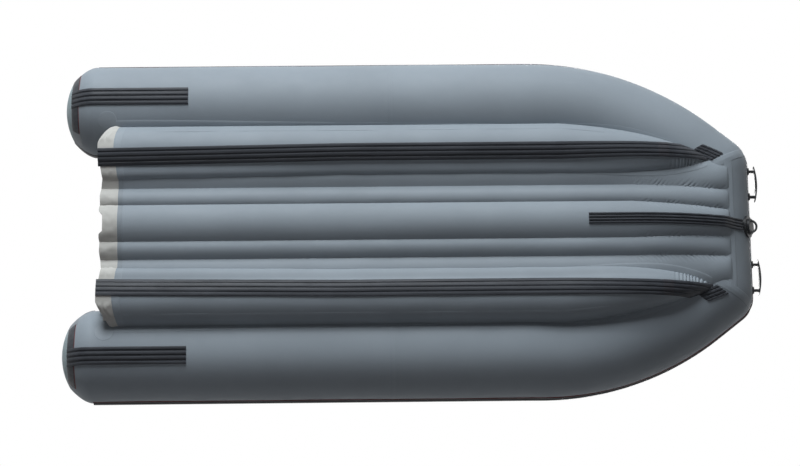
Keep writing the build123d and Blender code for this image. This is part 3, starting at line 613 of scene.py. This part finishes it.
def mitre_tape(angle, across, lift):
    """Tape over the mitre: below 0 it lies on the port tube, above 0 on the bow tube."""
    start = on_tube(np.full(angle.shape, RUN_SIDE), angle)
    lead = np.linalg.norm(to_mitre(start) - start, axis=-1)
    side = on_tube(RUN_SIDE + MITRE_LEAD * (1 + np.minimum(across, 0) / lead), angle, lift)
    end = to_mitre(start)
    bow_angle = np.arctan2(end[..., 2] - BOW_AXIS_Z, end[..., 0] - BOW_AXIS_X)
    front = on_bow(bow_angle, bow_end(bow_angle, lift) - np.maximum(across, 0), lift)
    return np.where(across[..., None] < 0, side, front)


loop = np.linspace(0, 2 * math.pi, 133)
places, heights = tape_profile(-0.024, 0.024, steps=11)
both("mitre_tape", strip_rings(mitre_tape, loop, places, heights), TAPE, caps=OPEN)

# rubbing strake with a piping line along its lower edge
STRAKE_HALF = STRAKE_H / 2 / TUBE_R
strake_share = np.array([-1, -0.97, -0.62, -0.5, -0.3, 0, 0.3, 0.5, 0.62, 0.97, 1])
strake_high = np.array([0.0006, 0.0034, 0.004, 0.0075, 0.0088, 0.009, 0.0088, 0.0075, 0.004, 0.0034, 0.0006])
both("strake_skin", strip_rings(on_tube, side_runs, strake_share * STRAKE_HALF, strake_high), RUBBER,
     replaces=("strake",))


def bow_strake(share, angle, lift):
    """Point on the bow tube level with the strakes of the side tubes; share runs from corner to corner."""
    angle = angle + RISE
    return on_bow(angle, share * bow_end(angle, lift), lift)


bow_rows = crowded(61)
loft("strake_bow_skin", strip_rings(bow_strake, bow_rows, strake_share * STRAKE_HALF, strake_high), RUBBER,
     replaces=("strake_bow",))
pipe_places = -STRAKE_HALF + np.array([-0.0028, -0.0025, -0.0016, -0.0007, -0.0004]) / TUBE_R
pipe_heights = np.array([0.0004, 0.0014, 0.0020, 0.0014, 0.0004])
both("piping", strip_rings(on_tube, side_runs, pipe_places, pipe_heights), RED)
loft("piping_bow", strip_rings(bow_strake, bow_rows, pipe_places, pipe_heights), RED)

# ---- air floor
def sweep_up(share):
    """Height gained along the swept-up part, on a circle that starts level."""
    return (1 - np.sqrt(1 - (share * math.sin(FLOOR_BEND)) ** 2)) / (1 - math.cos(FLOOR_BEND))


def seam_at(seam, x):
    """Where a floor seam runs at x: its distance from the middle and its height."""
    spread, bow_spread, low = seam
    share = np.clip((x - FLOOR_BEND_X) / FLOOR_RUN, 0, 1)
    return spread + (bow_spread - spread) * share, low + (CONTACT_Z - low) * sweep_up(share)


def deck_at(x):
    """Height of the floor's top seams at x."""
    share = np.clip((x - FLOOR_BEND_X) / FLOOR_RUN, 0, 1)
    return SEAM_HIGH + (CONTACT_Z - SEAM_LOW) * sweep_up(share)


CENTER_SEAM = (SEAM_SPREAD, SEAM_SPREAD_BOW, SEAM_LOW)
FAR_SEAM = (-SEAM_SPREAD, -SEAM_SPREAD_BOW, SEAM_LOW)
SIDE_SEAM = (SIDE_SEAM_SPREAD, SIDE_SEAM_SPREAD_BOW, SIDE_SEAM_LOW)
EDGE_SEAM = (EDGE_SPREAD, CORNER_Y, EDGE_LOW)
CHAMBERS = {
    "center": (FAR_SEAM, CENTER_SEAM, CENTER_BULGE),
    "inner": (CENTER_SEAM, SIDE_SEAM, INNER_BULGE),
    "outer": (SIDE_SEAM, EDGE_SEAM, OUTER_BULGE),
}


def arc_drop(share, half_width, bulge):
    """Depth of a circular bulge across a chamber, for share from -1 to 1."""
    radius = (half_width ** 2 + bulge ** 2) / (2 * np.maximum(bulge, 1e-5))
    return np.sqrt(np.maximum(radius ** 2 - (share * half_width) ** 2, 0)) - (radius - bulge)


def floor_bottom(name, x, share, lift=0.0):
    """Point under a chamber at x, for share across it from -1 to 1."""
    low_seam, high_seam, bulge = CHAMBERS[name]
    y0, z0 = seam_at(low_seam, x)
    y1, z1 = seam_at(high_seam, x)
    end = np.clip((CONTACT_X - x) / PILLOW, 0, 1)
    round_end = np.sqrt(1 - (1 - end) ** 2)
    middle, half = (y0 + y1) / 2, (y1 - y0) / 2
    drop = arc_drop(share, half, bulge * (0.15 + 0.85 * round_end)) + lift
    if name == "outer":
        beside = 1 - np.clip((x - SWELL_END_X) / SWELL_FADE, 0, 1)
        drop = drop + SWELL * beside * np.sin(math.pi * np.clip((share + 1) / 0.8, 0, 1))
    return np.stack([x + 0 * share, middle + half * share, z0 + (z1 - z0) * (share + 1) / 2 - drop], -1)


def floor_pucker(points, share, strength):
    """Short gathers that run off a chamber's seams, stronger towards the bow."""
    x, y = points[..., 0], points[..., 1]
    near = np.clip((np.abs(share) - 0.6) / 0.34, 0, 1) ** 1.2
    near = near * (1 - np.clip((np.abs(share) - 0.97) / 0.03, 0, 1))
    slant = x + np.sign(share) * y * 1.1 + 0.006 * np.sin(x * 31 + 7 * np.sign(share))
    creases = (1 - np.abs(np.sin(slant * math.pi / PUCKER_PITCH))) ** 2
    calls = 0.62 + 0.38 * np.sin(x * 53 + y * 29 + np.sin(x * 17))
    bow = window(x, CONTACT_X - 0.66, CONTACT_X - 0.30, CONTACT_X - 0.015, CONTACT_X + 0.02)
    return near * creases * calls * strength * (0.08 + bow)


def chamber_rings(name, strength, seed):
    """Rings round a chamber, from inside the light fabric to the bow tube."""
    x = np.r_[np.linspace(FLOOR_X + BAND_IN, FLOOR_BEND_X, 150)[:-1],
              np.linspace(FLOOR_BEND_X, CONTACT_X, 270)]
    grid_x, grid_share = grid(x, crowded(33))
    under = floor_bottom(name, grid_x, grid_share)
    under[..., 2] += floor_pucker(under, grid_share, strength)
    under[..., 2] += ripple(under, seed, 0.0006, 0.25) * (1 - grid_share ** 2)
    over = under[:, ::-1].copy()
    half = (under[:, -1:, 1] - under[:, :1, 1]) / 2
    over[..., 2] = deck_at(grid_x) + arc_drop(grid_share[:, ::-1], half, DECK_BULGE)
    return np.concatenate([under, over], axis=1)


loft("floor_center_skin", chamber_rings("center", 0.0042, 21), HULL, replaces=("floor_center",))
for chamber, strength, seed in (("inner", 0.0048, 22), ("outer", 0.0046, 23)):
    both(f"floor_{chamber}_skin", chamber_rings(chamber, strength, seed), HULL, replaces=(f"floor_{chamber}",))


# ---- sponsons
def sponson_at(x):
    """Radius, distance from the middle and bottom height of the port sponson at x."""
    share = np.clip((x - NOSE_X) / SPONSON_NOSE, 0, 1)
    radius = SPONSON_R * np.maximum(1 - share ** 2, 0) ** 0.8
    y = SPONSON_SPREAD + (SPONSON_TIP_SPREAD - SPONSON_SPREAD) * share
    low = SPONSON_Z - SPONSON_R + SPONSON_TIP_RISE * share ** 4
    return radius, y, low


def towards_stern(x):
    """0 amidships and forward, 1 at the floor's after end."""
    return np.clip((x - DRAW_X) / (FLOOR_X - DRAW_X), 0, 1)


def sponson_ring(x, angle):
    """Point on the port sponson's skin, gathered inboard of its nose; angle is from outboard up."""
    radius, y, low = sponson_at(x)
    share = np.clip((x - NOSE_X) / SPONSON_NOSE, 0, 1)
    inboard = np.clip(np.cos(angle - math.radians(-150)), 0, 1) ** 2
    gather = window(share, 0.66, 0.84, 0.97, 1.0) * inboard
    folds = np.abs(np.sin(x * math.pi / GATHER_PITCH + 0.9 * np.sin(x * 37) + 0.5 * angle)) - 0.5
    axis_z = low + radius
    radius = radius + gather * folds * GATHER_DEPTH
    fuller = FLANK_FULLER + FLANK_FULLER_STERN * towards_stern(x)
    radius = radius * (1 + fuller * window(np.mod(angle, 2 * math.pi), *FLANK) * (1 - share))
    height = axis_z + radius * np.sin(angle)
    return np.stack([x, y + radius * np.cos(angle), np.minimum(height, deck_at(x) - 0.03)], -1)


def sponson_aft(angle):
    """How far the sponson's after edge is cut forward, all round it."""
    out = np.clip((np.cos(angle) - 0.2) / 0.8, 0, 1)
    inner = np.clip((-np.cos(angle) - 0.2) / 0.8, 0, 1)
    return 0.062 * out ** 1.2 + 0.028 * inner ** 1.5


nose_share = 1 - (1 - np.linspace(0, 1, 190)) ** 1.6
sponson_x = np.r_[np.linspace(FLOOR_X + 0.03, NOSE_X, 100)[:-1],
                  NOSE_X + SPONSON_NOSE * nose_share[:-1]]
pod_angles = circle(112)
grid_x, grid_angle = grid(sponson_x, pod_angles)
aft = np.clip((FLOOR_X + 0.3 - grid_x) / 0.3, 0, 1) * sponson_aft(grid_angle)
pod = sponson_ring(grid_x + aft, grid_angle)
pod_out = pod - pod.mean(1, keepdims=True)
pod_size = np.linalg.norm(pod_out, axis=2, keepdims=True)
pod = pod + pod_out / np.maximum(pod_size, 1e-6) * ripple(pod, 31, 0.0005, 0.3)[..., None]
both("sponson_skin", pod, HULL, replaces=("sponson",))


# ---- light fabric at the floor's after end
def band_front(angle):
    """How far the light fabric reaches forward round the sponson."""
    return 0.078 + 0.024 * np.cos(angle) ** 2


def fold_along(share):
    """How strong the folds are from the light fabric's after edge, at 0, to its front edge, at 1."""
    return 0.25 * (1 - share) + np.sin(math.pi * share)


share = np.linspace(0, 1, 16)[:, None]
angle = pod_angles[None, :]
aft_edge = sponson_aft(angle)
wrap_x = FLOOR_X - 0.001 + aft_edge + (band_front(angle) - aft_edge) * share
wrap = sponson_ring(wrap_x, angle)
middle = np.array([FLOOR_X, SPONSON_SPREAD, SPONSON_Z])
radial = wrap - middle
radial[..., 0] = 0
fold = np.abs(ripple(wrap, 51, FOLD, FOLD_WAVE)) * fold_along(share)
fold = fold * (1 - 0.97 * window(angle, *UNDER_STRIP))
wrap = wrap + unit(radial) * (0.0013 + fold)[..., None]
end_share = np.linspace(0.04, 0.96, 9)[:, None, None]
end_middle = middle + np.array([0.022, 0, 0])
end = end_middle + (wrap[:1] - end_middle) * end_share
end[..., 0] -= 0.012 * np.sin(end_share[..., 0] * math.pi)
both("stern_wrap", np.concatenate([end, wrap]), LIGHT)

RAGGED_Y = np.array([0, 0.042, 0.056, 0.075, 0.10, 0.14, 0.19, 0.24, 0.5])
RAGGED_X = np.array([0.025, 0.024, 0.007, 0.006, 0.010, 0.008, 0.014, 0.020, 0.024])


def band_rings(name, seed):
    """Light fabric wrapped round a chamber's after end, with an uneven edge."""
    share = crowded(41)
    rows = []
    for step in np.linspace(0, 1, 9):
        under = floor_bottom(name, np.full(share.shape, FLOOR_X), share, 0.0016)
        over = under[::-1].copy()
        half = (under[-1, 1] - under[0, 1]) / 2
        over[:, 2] = deck_at(FLOOR_X) + arc_drop(share[::-1], half, DECK_BULGE) + 0.0012
        ring = np.concatenate([under, over])
        edge = np.interp(np.abs(ring[:, 1]), RAGGED_Y, RAGGED_X)
        ring[:, 0] = FLOOR_X + edge + (WRAP_L - edge) * step
        outward = np.where(np.arange(len(ring)) < len(share), -1, 1)
        ring[:, 2] += outward * np.abs(ripple(ring, seed, FOLD, FOLD_WAVE)) * fold_along(step)
        rows.append(ring)
    middle = rows[0].mean(0)
    ends = []
    for size in np.linspace(0.03, 0.97, 9):
        ring = middle + (rows[0] - middle) * size
        ring[:, 0] = FLOOR_X + 0.030 + (rows[0][:, 0] - FLOOR_X - 0.030) * size ** 3
        ends.append(ring)
    return ends + rows


loft("stern_wrap_center", band_rings("center", 61), LIGHT, replaces=("stern_band",))
for chamber, seed in (("inner", 62), ("outer", 63)):
    both(f"stern_wrap_{chamber}", band_rings(chamber, seed), LIGHT)


def chamber_end_tape(name):
    """Tape across a chamber in front of the light fabric."""
    def surface(share, across, lift):
        return floor_bottom(name, FLOOR_X + across, share, lift)
    return strip_rings(surface, crowded(31), *tape_profile(*END_TAPE, 0.0007, 5))


loft("end_tape_center", chamber_end_tape("center"), DARK_TAPE)
for chamber in ("inner", "outer"):
    both(f"end_tape_{chamber}", chamber_end_tape(chamber), DARK_TAPE)


def sponson_side_tape(x, angle, lift):
    """Along the sponson's outboard side, up to where it meets the tube."""
    ring = sponson_ring(x, angle)
    radial = np.stack([0 * x, np.cos(angle), np.sin(angle)], -1)
    return ring + radial * lift[..., None]


side_x = np.linspace(FLOOR_X + 0.13, NOSE_X + 0.22, 110)
side_angles = np.radians(np.r_[-50, np.linspace(-49.3, -8, 9)])
side_heights = np.r_[TAPE_EDGE, np.full(9, 0.0007)]
both("sponson_side_tape", strip_rings(sponson_side_tape, side_x, side_angles, side_heights), HULL)


def sponson_edge_tape(angle, across, lift):
    """Narrow tape round the sponson in front of the light fabric."""
    x = FLOOR_X + band_front(angle) + across
    ring = sponson_ring(x, angle)
    radial = ring - np.stack([x, 0 * x + SPONSON_SPREAD, 0 * x + SPONSON_Z], -1)
    return ring + unit(radial) * lift[..., None]


places, heights = tape_profile(-0.004, 0.036, 0.0006, 5)
edge_angles = np.linspace(math.pi * 0.98, math.pi * 2.02, 70)
both("sponson_edge_tape", strip_rings(sponson_edge_tape, edge_angles, places, heights), TAPE)


# ---- tapes along the floor's joints
def across_outer(x, y):
    """Share across the outer chamber at y, from -1 to 1, and its outboard seam's place."""
    y0, _ = seam_at(SIDE_SEAM, x)
    y1, _ = seam_at(EDGE_SEAM, x)
    return np.clip((y - (y0 + y1) / 2) / ((y1 - y0) / 2), -1, 1), y1


def joint_angles(runs):
    """Angle on the port tube where the outer chamber's bottom meets it."""
    angles = np.linspace(math.radians(-95), math.radians(-178), 240)
    points = on_tube(runs[:, None], angles[None, :])
    x = np.clip(points[..., 0], FLOOR_X, CONTACT_X)
    share, edge_y = across_outer(x, points[..., 1])
    under = points[..., 2] > floor_bottom("outer", x, share)[..., 2]
    inside = points[..., 1] < edge_y
    first = np.argmax(under & inside, axis=1)
    return angles[first]


joint_runs = np.linspace(FLOOR_X - STRAIGHT_X + 0.01, RUN_SIDE + MITRE_LEAD * 0.6, 150)
joint = joint_angles(joint_runs)
joint = np.convolve(np.r_[np.full(6, joint[0]), joint, np.full(6, joint[-1])], np.ones(13) / 13, "valid")
joint_width = np.interp(joint_runs, [0.3, 2.4, RUN_SIDE], [0.088, 0.045, 0.034])


def joint_tape(run, across, lift):
    """On the port tube, from just inside the joint with the floor; across runs from 0 to 1."""
    angle = np.interp(run, joint_runs, joint)
    width = np.interp(run, joint_runs, joint_width)
    return on_tube(run, angle + (width * across - 0.01) / TUBE_R, lift)


places = np.r_[0, np.linspace(0.02, 0.985, 9), 1]
both("joint_tape", strip_rings(joint_tape, joint_runs, places, thin_edged(0.0009, 9)), TAPE)


def bow_joint_tape(y, across, lift):
    """On the bow tube, where the floor's front end meets it."""
    return on_bow(FLOOR_BEND - math.pi / 2 + across / TUBE_R, y, lift)


reach = bow_end(np.array([FLOOR_BEND - math.pi / 2]))[0] - 0.01
places, heights = tape_profile(-0.02, 0.032)
loft("bow_joint_tape", strip_rings(bow_joint_tape, np.linspace(-reach, reach, 60), places, heights), TAPE)


def sponson_joint(x):
    """Distance from the middle where the sponson's inboard side meets the outer chamber's bottom."""
    radius, y, low = sponson_at(x)
    turn = np.linspace(0, 1, 200)[:, None]
    line = y - radius * turn
    pod_z = low + radius - radius * np.sqrt(np.maximum(1 - turn ** 2, 0))
    share, _ = across_outer(x, line)
    floor_z = floor_bottom("outer", np.broadcast_to(x, line.shape), share)[..., 2]
    first = np.argmax(pod_z > floor_z, axis=0)
    return np.take_along_axis(line, first[None, :], 0)[0]


tape_x = np.linspace(FLOOR_X + 0.1, TIP_X - 0.02, 150)
inner_joint = sponson_joint(tape_x)


def floor_tape(x, across, lift):
    """On the outer chamber's bottom beside the sponson's inboard side; across runs from 0 to 1."""
    seam_y, _ = seam_at(SIDE_SEAM, x)
    width = np.interp(x, [0.6, 1.2], [0.022, 0.048])
    line = np.maximum(np.interp(x, tape_x, inner_joint) + 0.012 - width * across, seam_y + 0.004)
    share, _ = across_outer(x, line)
    return floor_bottom("outer", x, share, lift)


places = np.r_[0, np.linspace(0.04, 0.97, 7), 1]
both("sponson_tape", strip_rings(floor_tape, tape_x, places, thin_edged(0.0009, 7)), TAPE)


def round_tube(angle, run, lift):
    """Point on the port tube's skin, for pieces that run round it."""
    return on_tube(run, angle, lift)


# seams round each side tube, amidships and at its cap
for index, place in enumerate((AMIDSHIP_SEAM_X - STRAIGHT_X, -CONE_L + 0.002)):
    places, heights = tape_profile(place, place + CROSS_SEAM_W, 0.0004, 4)
    both(f"cross_seam_{index}", strip_rings(round_tube, loop, places, heights), HULL, caps=OPEN)


def round_patch(turn, share, lift):
    """Disc on the port tube's inboard bottom at the stern."""
    run = DISC_X - STRAIGHT_X + DISC_R * share * np.cos(turn)
    return on_tube(run, DISC_ANGLE + DISC_R * share * np.sin(turn) / TUBE_R, lift)


ring_share = np.array([0.02, 0.3, 0.6, 0.85, 0.975, 1.0])
grid_share, grid_turn = grid(ring_share, circle(64))
disc_high = np.array([0.0016, 0.0016, 0.0016, 0.0016, 0.0015, TAPE_EDGE])[:, None] + 0 * grid_turn
both("round_patch", round_patch(grid_turn, grid_share, disc_high), TAPE, caps=(True, False))


# ---- ribbed strips
def rib_profile(width, rib=RIB_W, base=STRIP_T, high=RIB_H, edge=0.0016):
    """Places across a strip and heights over what it lies on: rounded ribs on a thin base."""
    near = edge / 4
    pitch = (width - rib) / (RIB_COUNT - 1)
    rise = [(near, 0.35), (edge, 0.85), (edge * 2, 1.0)]
    fall = [(rib - step, share) for step, share in reversed(rise)]
    profile = [(-width / 2, STRIP_EDGE)]
    for index in range(RIB_COUNT):
        low = pitch * index - width / 2
        if index:
            profile.append((low - near, base))
        profile += [(low + step, base + high * share) for step, share in rise + fall]
        if index < RIB_COUNT - 1:
            profile.append((low + rib + near, base))
    profile.append((width / 2, STRIP_EDGE))
    places, heights = zip(*profile)
    return np.array(places), np.array(heights)


def under_sponson(x, v, lift):
    """Point under the port sponson: v is across the strip, which leans in towards the nose's point."""
    radius, y, low = sponson_at(x)
    share = np.clip((x - NOSE_X) / SPONSON_NOSE, 0, 1)
    lean = (STRIP_TIP_SPREAD - STRIP_SPREAD + STRIP_W / 2) * (1 - (v + STRIP_W / 2) / STRIP_W)
    line = STRIP_SPREAD - STRIP_DRAW * towards_stern(x) + v + lean * share
    turn = np.clip((line - y) / np.maximum(radius, 1e-4), -0.985, 0.985)
    over_band = np.clip((FLOOR_X + 0.082 - x) / 0.004, 0, 1) * 0.0014
    reach = radius + lift + over_band
    return np.stack([x, y + reach * turn, low + radius - reach * np.sqrt(1 - turn ** 2)], -1)


strip_places, strip_heights = rib_profile(STRIP_W, base=STRIP_T + 0.0013, high=RIB_H - 0.0013)
strip_x = np.r_[FLOOR_X, FLOOR_X + 0.015, sponson_x[sponson_x < TIP_X - 0.006]]
both("keel_strip_skin", strip_rings(under_sponson, strip_x, strip_places, strip_heights), STRIP,
     replaces=("keel_strip",), sharp=RIB_SHARP)

# a lapped splice in each keel strip
splice_x = np.linspace(*SPLICE_X, 16)
both("keel_splice", strip_rings(under_sponson, splice_x, strip_places, strip_heights * 0.95 + 0.0012),
     WORN_STRIP, sharp=RIB_SHARP)


def under_center(x, v, lift):
    """Point on the centre chamber's bottom and on up the bow tube, over the groove between them."""
    inside = np.minimum(x, CONTACT_X)
    half, seam_z = seam_at(CENTER_SEAM, inside)
    full = np.clip((CONTACT_X + 0.035 - x) / 0.075, 0, 1)
    drop = arc_drop(v / half, half, CENTER_BULGE * smooth(full))
    lean = FLOOR_BEND * np.clip((x - CONTACT_X + 0.06) / 0.06, 0, 1) - math.pi / 2
    floor = np.stack([x + lift * np.cos(lean), v, seam_z - drop + lift * np.sin(lean)], -1)
    bow = on_bow(FLOOR_BEND - math.pi / 2 + np.maximum(x - CONTACT_X, 0) / TUBE_R, v, lift)
    bow[..., 2] -= drop
    return np.where(x[..., None] > CONTACT_X, bow, floor)


center_places, center_heights = rib_profile(CENTER_STRIP_W, rib=0.0105)
ring_stop = RING_ANGLE - math.radians(16) - (FLOOR_BEND - math.pi / 2)
center_x = np.r_[np.linspace(BOW_X - CENTER_STRIP_L, CONTACT_X, 120),
                 CONTACT_X + TUBE_R * np.linspace(0, ring_stop, 24)[1:]]
loft("center_strip_skin", strip_rings(under_center, center_x, center_places, center_heights), STRIP,
     replaces=("keel_strip_center",), sharp=RIB_SHARP)


# wear patches: a grid of ribs on the tubes in front of the sponsons
def tube_place(x, y):
    """Run and angle of the port tube's underside at a place in plan."""
    runs, angles = grid(np.linspace(RUN_STRAIGHT, RUN_SIDE + MITRE_LEAD, 220),
                        np.linspace(math.radians(-175), math.radians(-60), 220))
    points = on_tube(runs, angles)
    best = np.argmin((points[..., 0] - x) ** 2 + (points[..., 1] - y) ** 2)
    return runs.ravel()[best], angles.ravel()[best]


corners = []
for along, across in ((-1, -1), (1, -1), (-1, 1), (1, 1)):
    u = PATCH_L / 2 * along + PATCH_LEAN / 2 * across
    v = PATCH_W / 2 * across
    corners.append(tube_place(BOW_X - PATCH_BACK + u * math.cos(PATCH_ANGLE) - v * math.sin(PATCH_ANGLE),
                              PATCH_SPREAD + u * math.sin(PATCH_ANGLE) + v * math.cos(PATCH_ANGLE)))
corners = np.array(corners).reshape(2, 2, 2)


def patch_surface(u, v, lift):
    """Point on the port tube between the patch's corners, for u and v from 0 to 1."""
    low = corners[0, 0] + (corners[0, 1] - corners[0, 0]) * u[..., None]
    high = corners[1, 0] + (corners[1, 1] - corners[1, 0]) * u[..., None]
    place = low + (high - low) * v[..., None]
    return on_tube(place[..., 0], place[..., 1], lift)


patch_places, patch_high = rib_profile(1.0, rib=0.19, edge=0.02)
patch_u = np.linspace(0, 1, 65)
cross = 0.55 + 0.45 * np.clip(np.abs(np.sin(patch_u * 4 * math.pi)) * 5 - 0.6, 0, 1)
corner_cut = np.clip(np.minimum(patch_u, 1 - patch_u) / 0.05, 0, 1) ** 0.5
grid_u, grid_v = grid(patch_u, patch_places + 0.5)
grid_v = 0.5 + (grid_v - 0.5) * (0.90 + 0.10 * corner_cut[:, None])
face = patch_surface(grid_u, grid_v, np.maximum(patch_high[None, :] * cross[:, None], STRIP_EDGE) * 0.75)
back = patch_surface(grid_u, grid_v, np.full(grid_u.shape, -0.002))
both("wear_patch_skin", np.concatenate([face, back[:, ::-1]], axis=1), STRIP,
     replaces=("wear_patch",), sharp=RIB_SHARP)

# strips on the tubes at the stern
STERN_ANGLE = -math.pi / 2 + math.asin(STERN_STRIP_OUT / TUBE_R)


def under_stern(run, v, lift):
    """Point under the port tube and its cone, v across the strip, which runs straight in plan."""
    radius = np.where(run < 0, cone_radius(STRAIGHT_X + np.maximum(run, -CONE_L)), TUBE_R)
    return on_tube(run, np.arcsin((STERN_STRIP_OUT + v) / radius) - math.pi / 2, lift)


stern_places, stern_heights = rib_profile(STERN_STRIP_W)
stern_end = STERN_X + STERN_STRIP_L - STRAIGHT_X
stern_runs = np.r_[np.linspace(-CONE_L, 0, 26)[:-1], np.linspace(0, stern_end, 60)]
both("stern_strip_skin", strip_rings(under_stern, stern_runs, stern_places, stern_heights), STRIP,
     replaces=("stern_strip",), sharp=RIB_SHARP)

# a flat cross strip on each cone, with piping in front and a worn patch at its inboard end
cross_angles = np.linspace(STERN_ANGLE - BAND_STRIP_ARC, STERN_ANGLE + BAND_STRIP_ARC, 60)
cross_places = -CONE_L + np.array([0, 0.002, 0.016, BAND_STRIP_W - 0.002, BAND_STRIP_W])
cross_heights = np.array([STRIP_EDGE, STRIP_T, STRIP_T * 1.2, STRIP_T, STRIP_EDGE])
both("cross_strip", strip_rings(round_tube, cross_angles, cross_places, cross_heights), STRIP, sharp=RIB_SHARP)
line_places = cross_places[-1] + np.array([-0.0004, 0.0004, 0.0022, 0.0030])
line_heights = np.array([0.0004, 0.0016, 0.0016, 0.0004])
both("cross_piping", strip_rings(round_tube, cross_angles, line_places, line_heights), RED)
end_angles = np.linspace(STERN_ANGLE - BAND_STRIP_ARC - 0.42, STERN_ANGLE - BAND_STRIP_ARC + 0.04, 20)
end_places, end_heights = tape_profile(-CONE_L + 0.001, -CONE_L + BAND_STRIP_W + 0.012, 0.0009, 7)
both("cross_end_patch", strip_rings(round_tube, end_angles, end_places, end_heights), WORN_TAPE)

# dark guards on the cones' inboard sides
guard_half = GUARD_W / 2 / TUBE_R
guard_angles = np.linspace(math.pi - guard_half, math.pi + guard_half, 9)
guard_heights = np.array([STRIP_EDGE] + [STRIP_T] * 7 + [STRIP_EDGE])
both("cone_guard_skin", strip_rings(on_tube, np.linspace(-CONE_L, 0, 30), guard_angles, guard_heights),
     RUBBER, replaces=("cone_guard",))

# ---- camera, light and stage
CAMERA_PLACE = (-0.21982, 2.23275, -10.51036)
CAMERA_TURN = (-168.3813, 0.6623, 0.6732)
CAMERA_LENS = 98.603
VIEW = np.array([-0.0201, 0.2036, -0.9788])
VIEW_UP = np.array([0.0092, -0.9795, -0.2014])
MIDDLE = np.array([0, 0, 0.2])
LAMP_DISTANCE = 14
LAMP_SHIFT = np.array([-2.2, 0, 0])
COOL = (0.955, 1.0, 1.025)
LAMPS = (
    ("key", 60, 1230, (7, 4.6), COOL),
    ("rim", 76, 1500, (7, 4.6), COOL),
    ("rake", 90, 200, (7, 4.0), COOL),
    ("front", -12, 200, (7, 6), (0.98, 0.97, 1.0)),
    ("under", -35, 110, (9, 5), (1.0, 0.97, 0.98)),
)
FLOOR_REACH = 20.0
FADE_START = 2.6
FADE_END = 6.5

camera_data = bpy.data.cameras.new("camera")
camera_data.sensor_width = 36
camera_data.lens = CAMERA_LENS
camera_data.clip_end = 200
camera = add_object("camera", camera_data)
camera.location = CAMERA_PLACE
camera.rotation_euler = tuple(math.radians(turn) for turn in CAMERA_TURN)
bpy.context.scene.camera = camera


def panel(name, spot, target, size, power, colour):
    """Soft rectangular lamp that faces a target."""
    data = bpy.data.lights.new(name, "AREA")
    data.shape = "RECTANGLE"
    data.size, data.size_y = size
    data.energy = power
    data.color = colour
    direction = unit(np.array(target, float) - np.array(spot, float))
    yaw = math.atan2(direction[1], direction[0]) - math.pi / 2
    lamp = add_object(name, data)
    lamp.location = spot
    lamp.rotation_euler = (math.acos(-direction[2]), 0, yaw)


# each lamp's turn is in degrees from the camera's side towards the picture's upper edge
for name, turn, power, size, colour in LAMPS:
    away = math.cos(math.radians(turn)) * VIEW + math.sin(math.radians(turn)) * VIEW_UP
    panel(name, tuple(MIDDLE + LAMP_DISTANCE * away + LAMP_SHIFT), tuple(MIDDLE), size, power, colour)
panel("top", (2.5, -2.5, 12.0), (0, 0, 0.2), (8, 6), 1550, (1.0, 1.0, 1.0))


def seen_plainly(tree):
    """1 for rays from the camera, off a glossy surface or through a clear one, else 0."""
    rays = add_node(tree, "LightPath")
    seen = maths(tree, "MAXIMUM", rays.outputs["Is Camera Ray"], rays.outputs["Is Glossy Ray"])
    return maths(tree, "MAXIMUM", seen, rays.outputs["Is Transmission Ray"])


def blend_shaders(tree, factor, a, b):
    """The first shader where the factor is 0, the second where it is 1."""
    node = add_node(tree, "MixShader")
    for socket, source in zip(node.inputs, (factor, a, b)):
        tree.links.new(source, socket)
    return node.outputs[0]


# the world: plain white to look at, but a dim fill that grows towards the top for the light it sheds
world = bpy.data.worlds.new("studio")
bpy.context.scene.world = world
world.use_nodes = True
sky = world.node_tree
sky.nodes.clear()
fill_light = add_node(sky, "Background", Color=(1.0, 0.98, 0.96, 1))
height = add_node(sky, "SeparateXYZ")
sky.links.new(add_node(sky, "TexCoord").outputs["Generated"], height.inputs[0])
sky.links.new(ramp(sky, height.outputs["Z"], 0.1, 0.75, 0.012, 0.55), fill_light.inputs["Strength"])
white = add_node(sky, "Background", Color=(1, 1, 1, 1), Strength=1.0)
studio = blend_shaders(sky, seen_plainly(sky), fill_light.outputs[0], white.outputs[0])
sky.links.new(studio, add_node(sky, "OutputWorld").inputs["Surface"])

# pale floor that shows from above only, so that the underside can be seen and lit through it;
# far from the boat it fades into the white backdrop
floor_mat = bpy.data.materials.new("studio_floor")
floor_mat.use_nodes = True
tree = floor_mat.node_tree
tree.nodes.clear()
facing = add_node(tree, "NewGeometry")
front = maths(tree, "SUBTRACT", 1.0, facing.outputs["Backfacing"])
seen = maths(tree, "MULTIPLY", front, seen_plainly(tree))
pale = add_node(tree, "BsdfDiffuse", Color=(0.86, 0.86, 0.86, 1))
backdrop = add_node(tree, "Emission", Color=(1, 1, 1, 1), Strength=1.0)
clear = add_node(tree, "BsdfTransparent")
distance = add_node(tree, "VectorMath")
distance.operation = "LENGTH"
tree.links.new(facing.outputs["Position"], distance.inputs[0])
far = ramp(tree, distance.outputs["Value"], FADE_START, FADE_END)
ground = blend_shaders(tree, far, pale.outputs[0], backdrop.outputs[0])
ground = blend_shaders(tree, seen, clear.outputs[0], ground)
tree.links.new(ground, add_node(tree, "OutputMaterial").inputs["Surface"])
floor_mesh = bpy.data.meshes.new("studio_floor")
floor_corners = [(x * FLOOR_REACH, y * FLOOR_REACH, 0) for x, y in ((-1, -1), (1, -1), (1, 1), (-1, 1))]
floor_mesh.from_pydata(floor_corners, [], [(0, 1, 2, 3)])
cover(floor_mesh, floor_mat)
studio_floor = add_object("studio_floor", floor_mesh)
bpy.context.scene.view_settings.view_transform = "Standard"
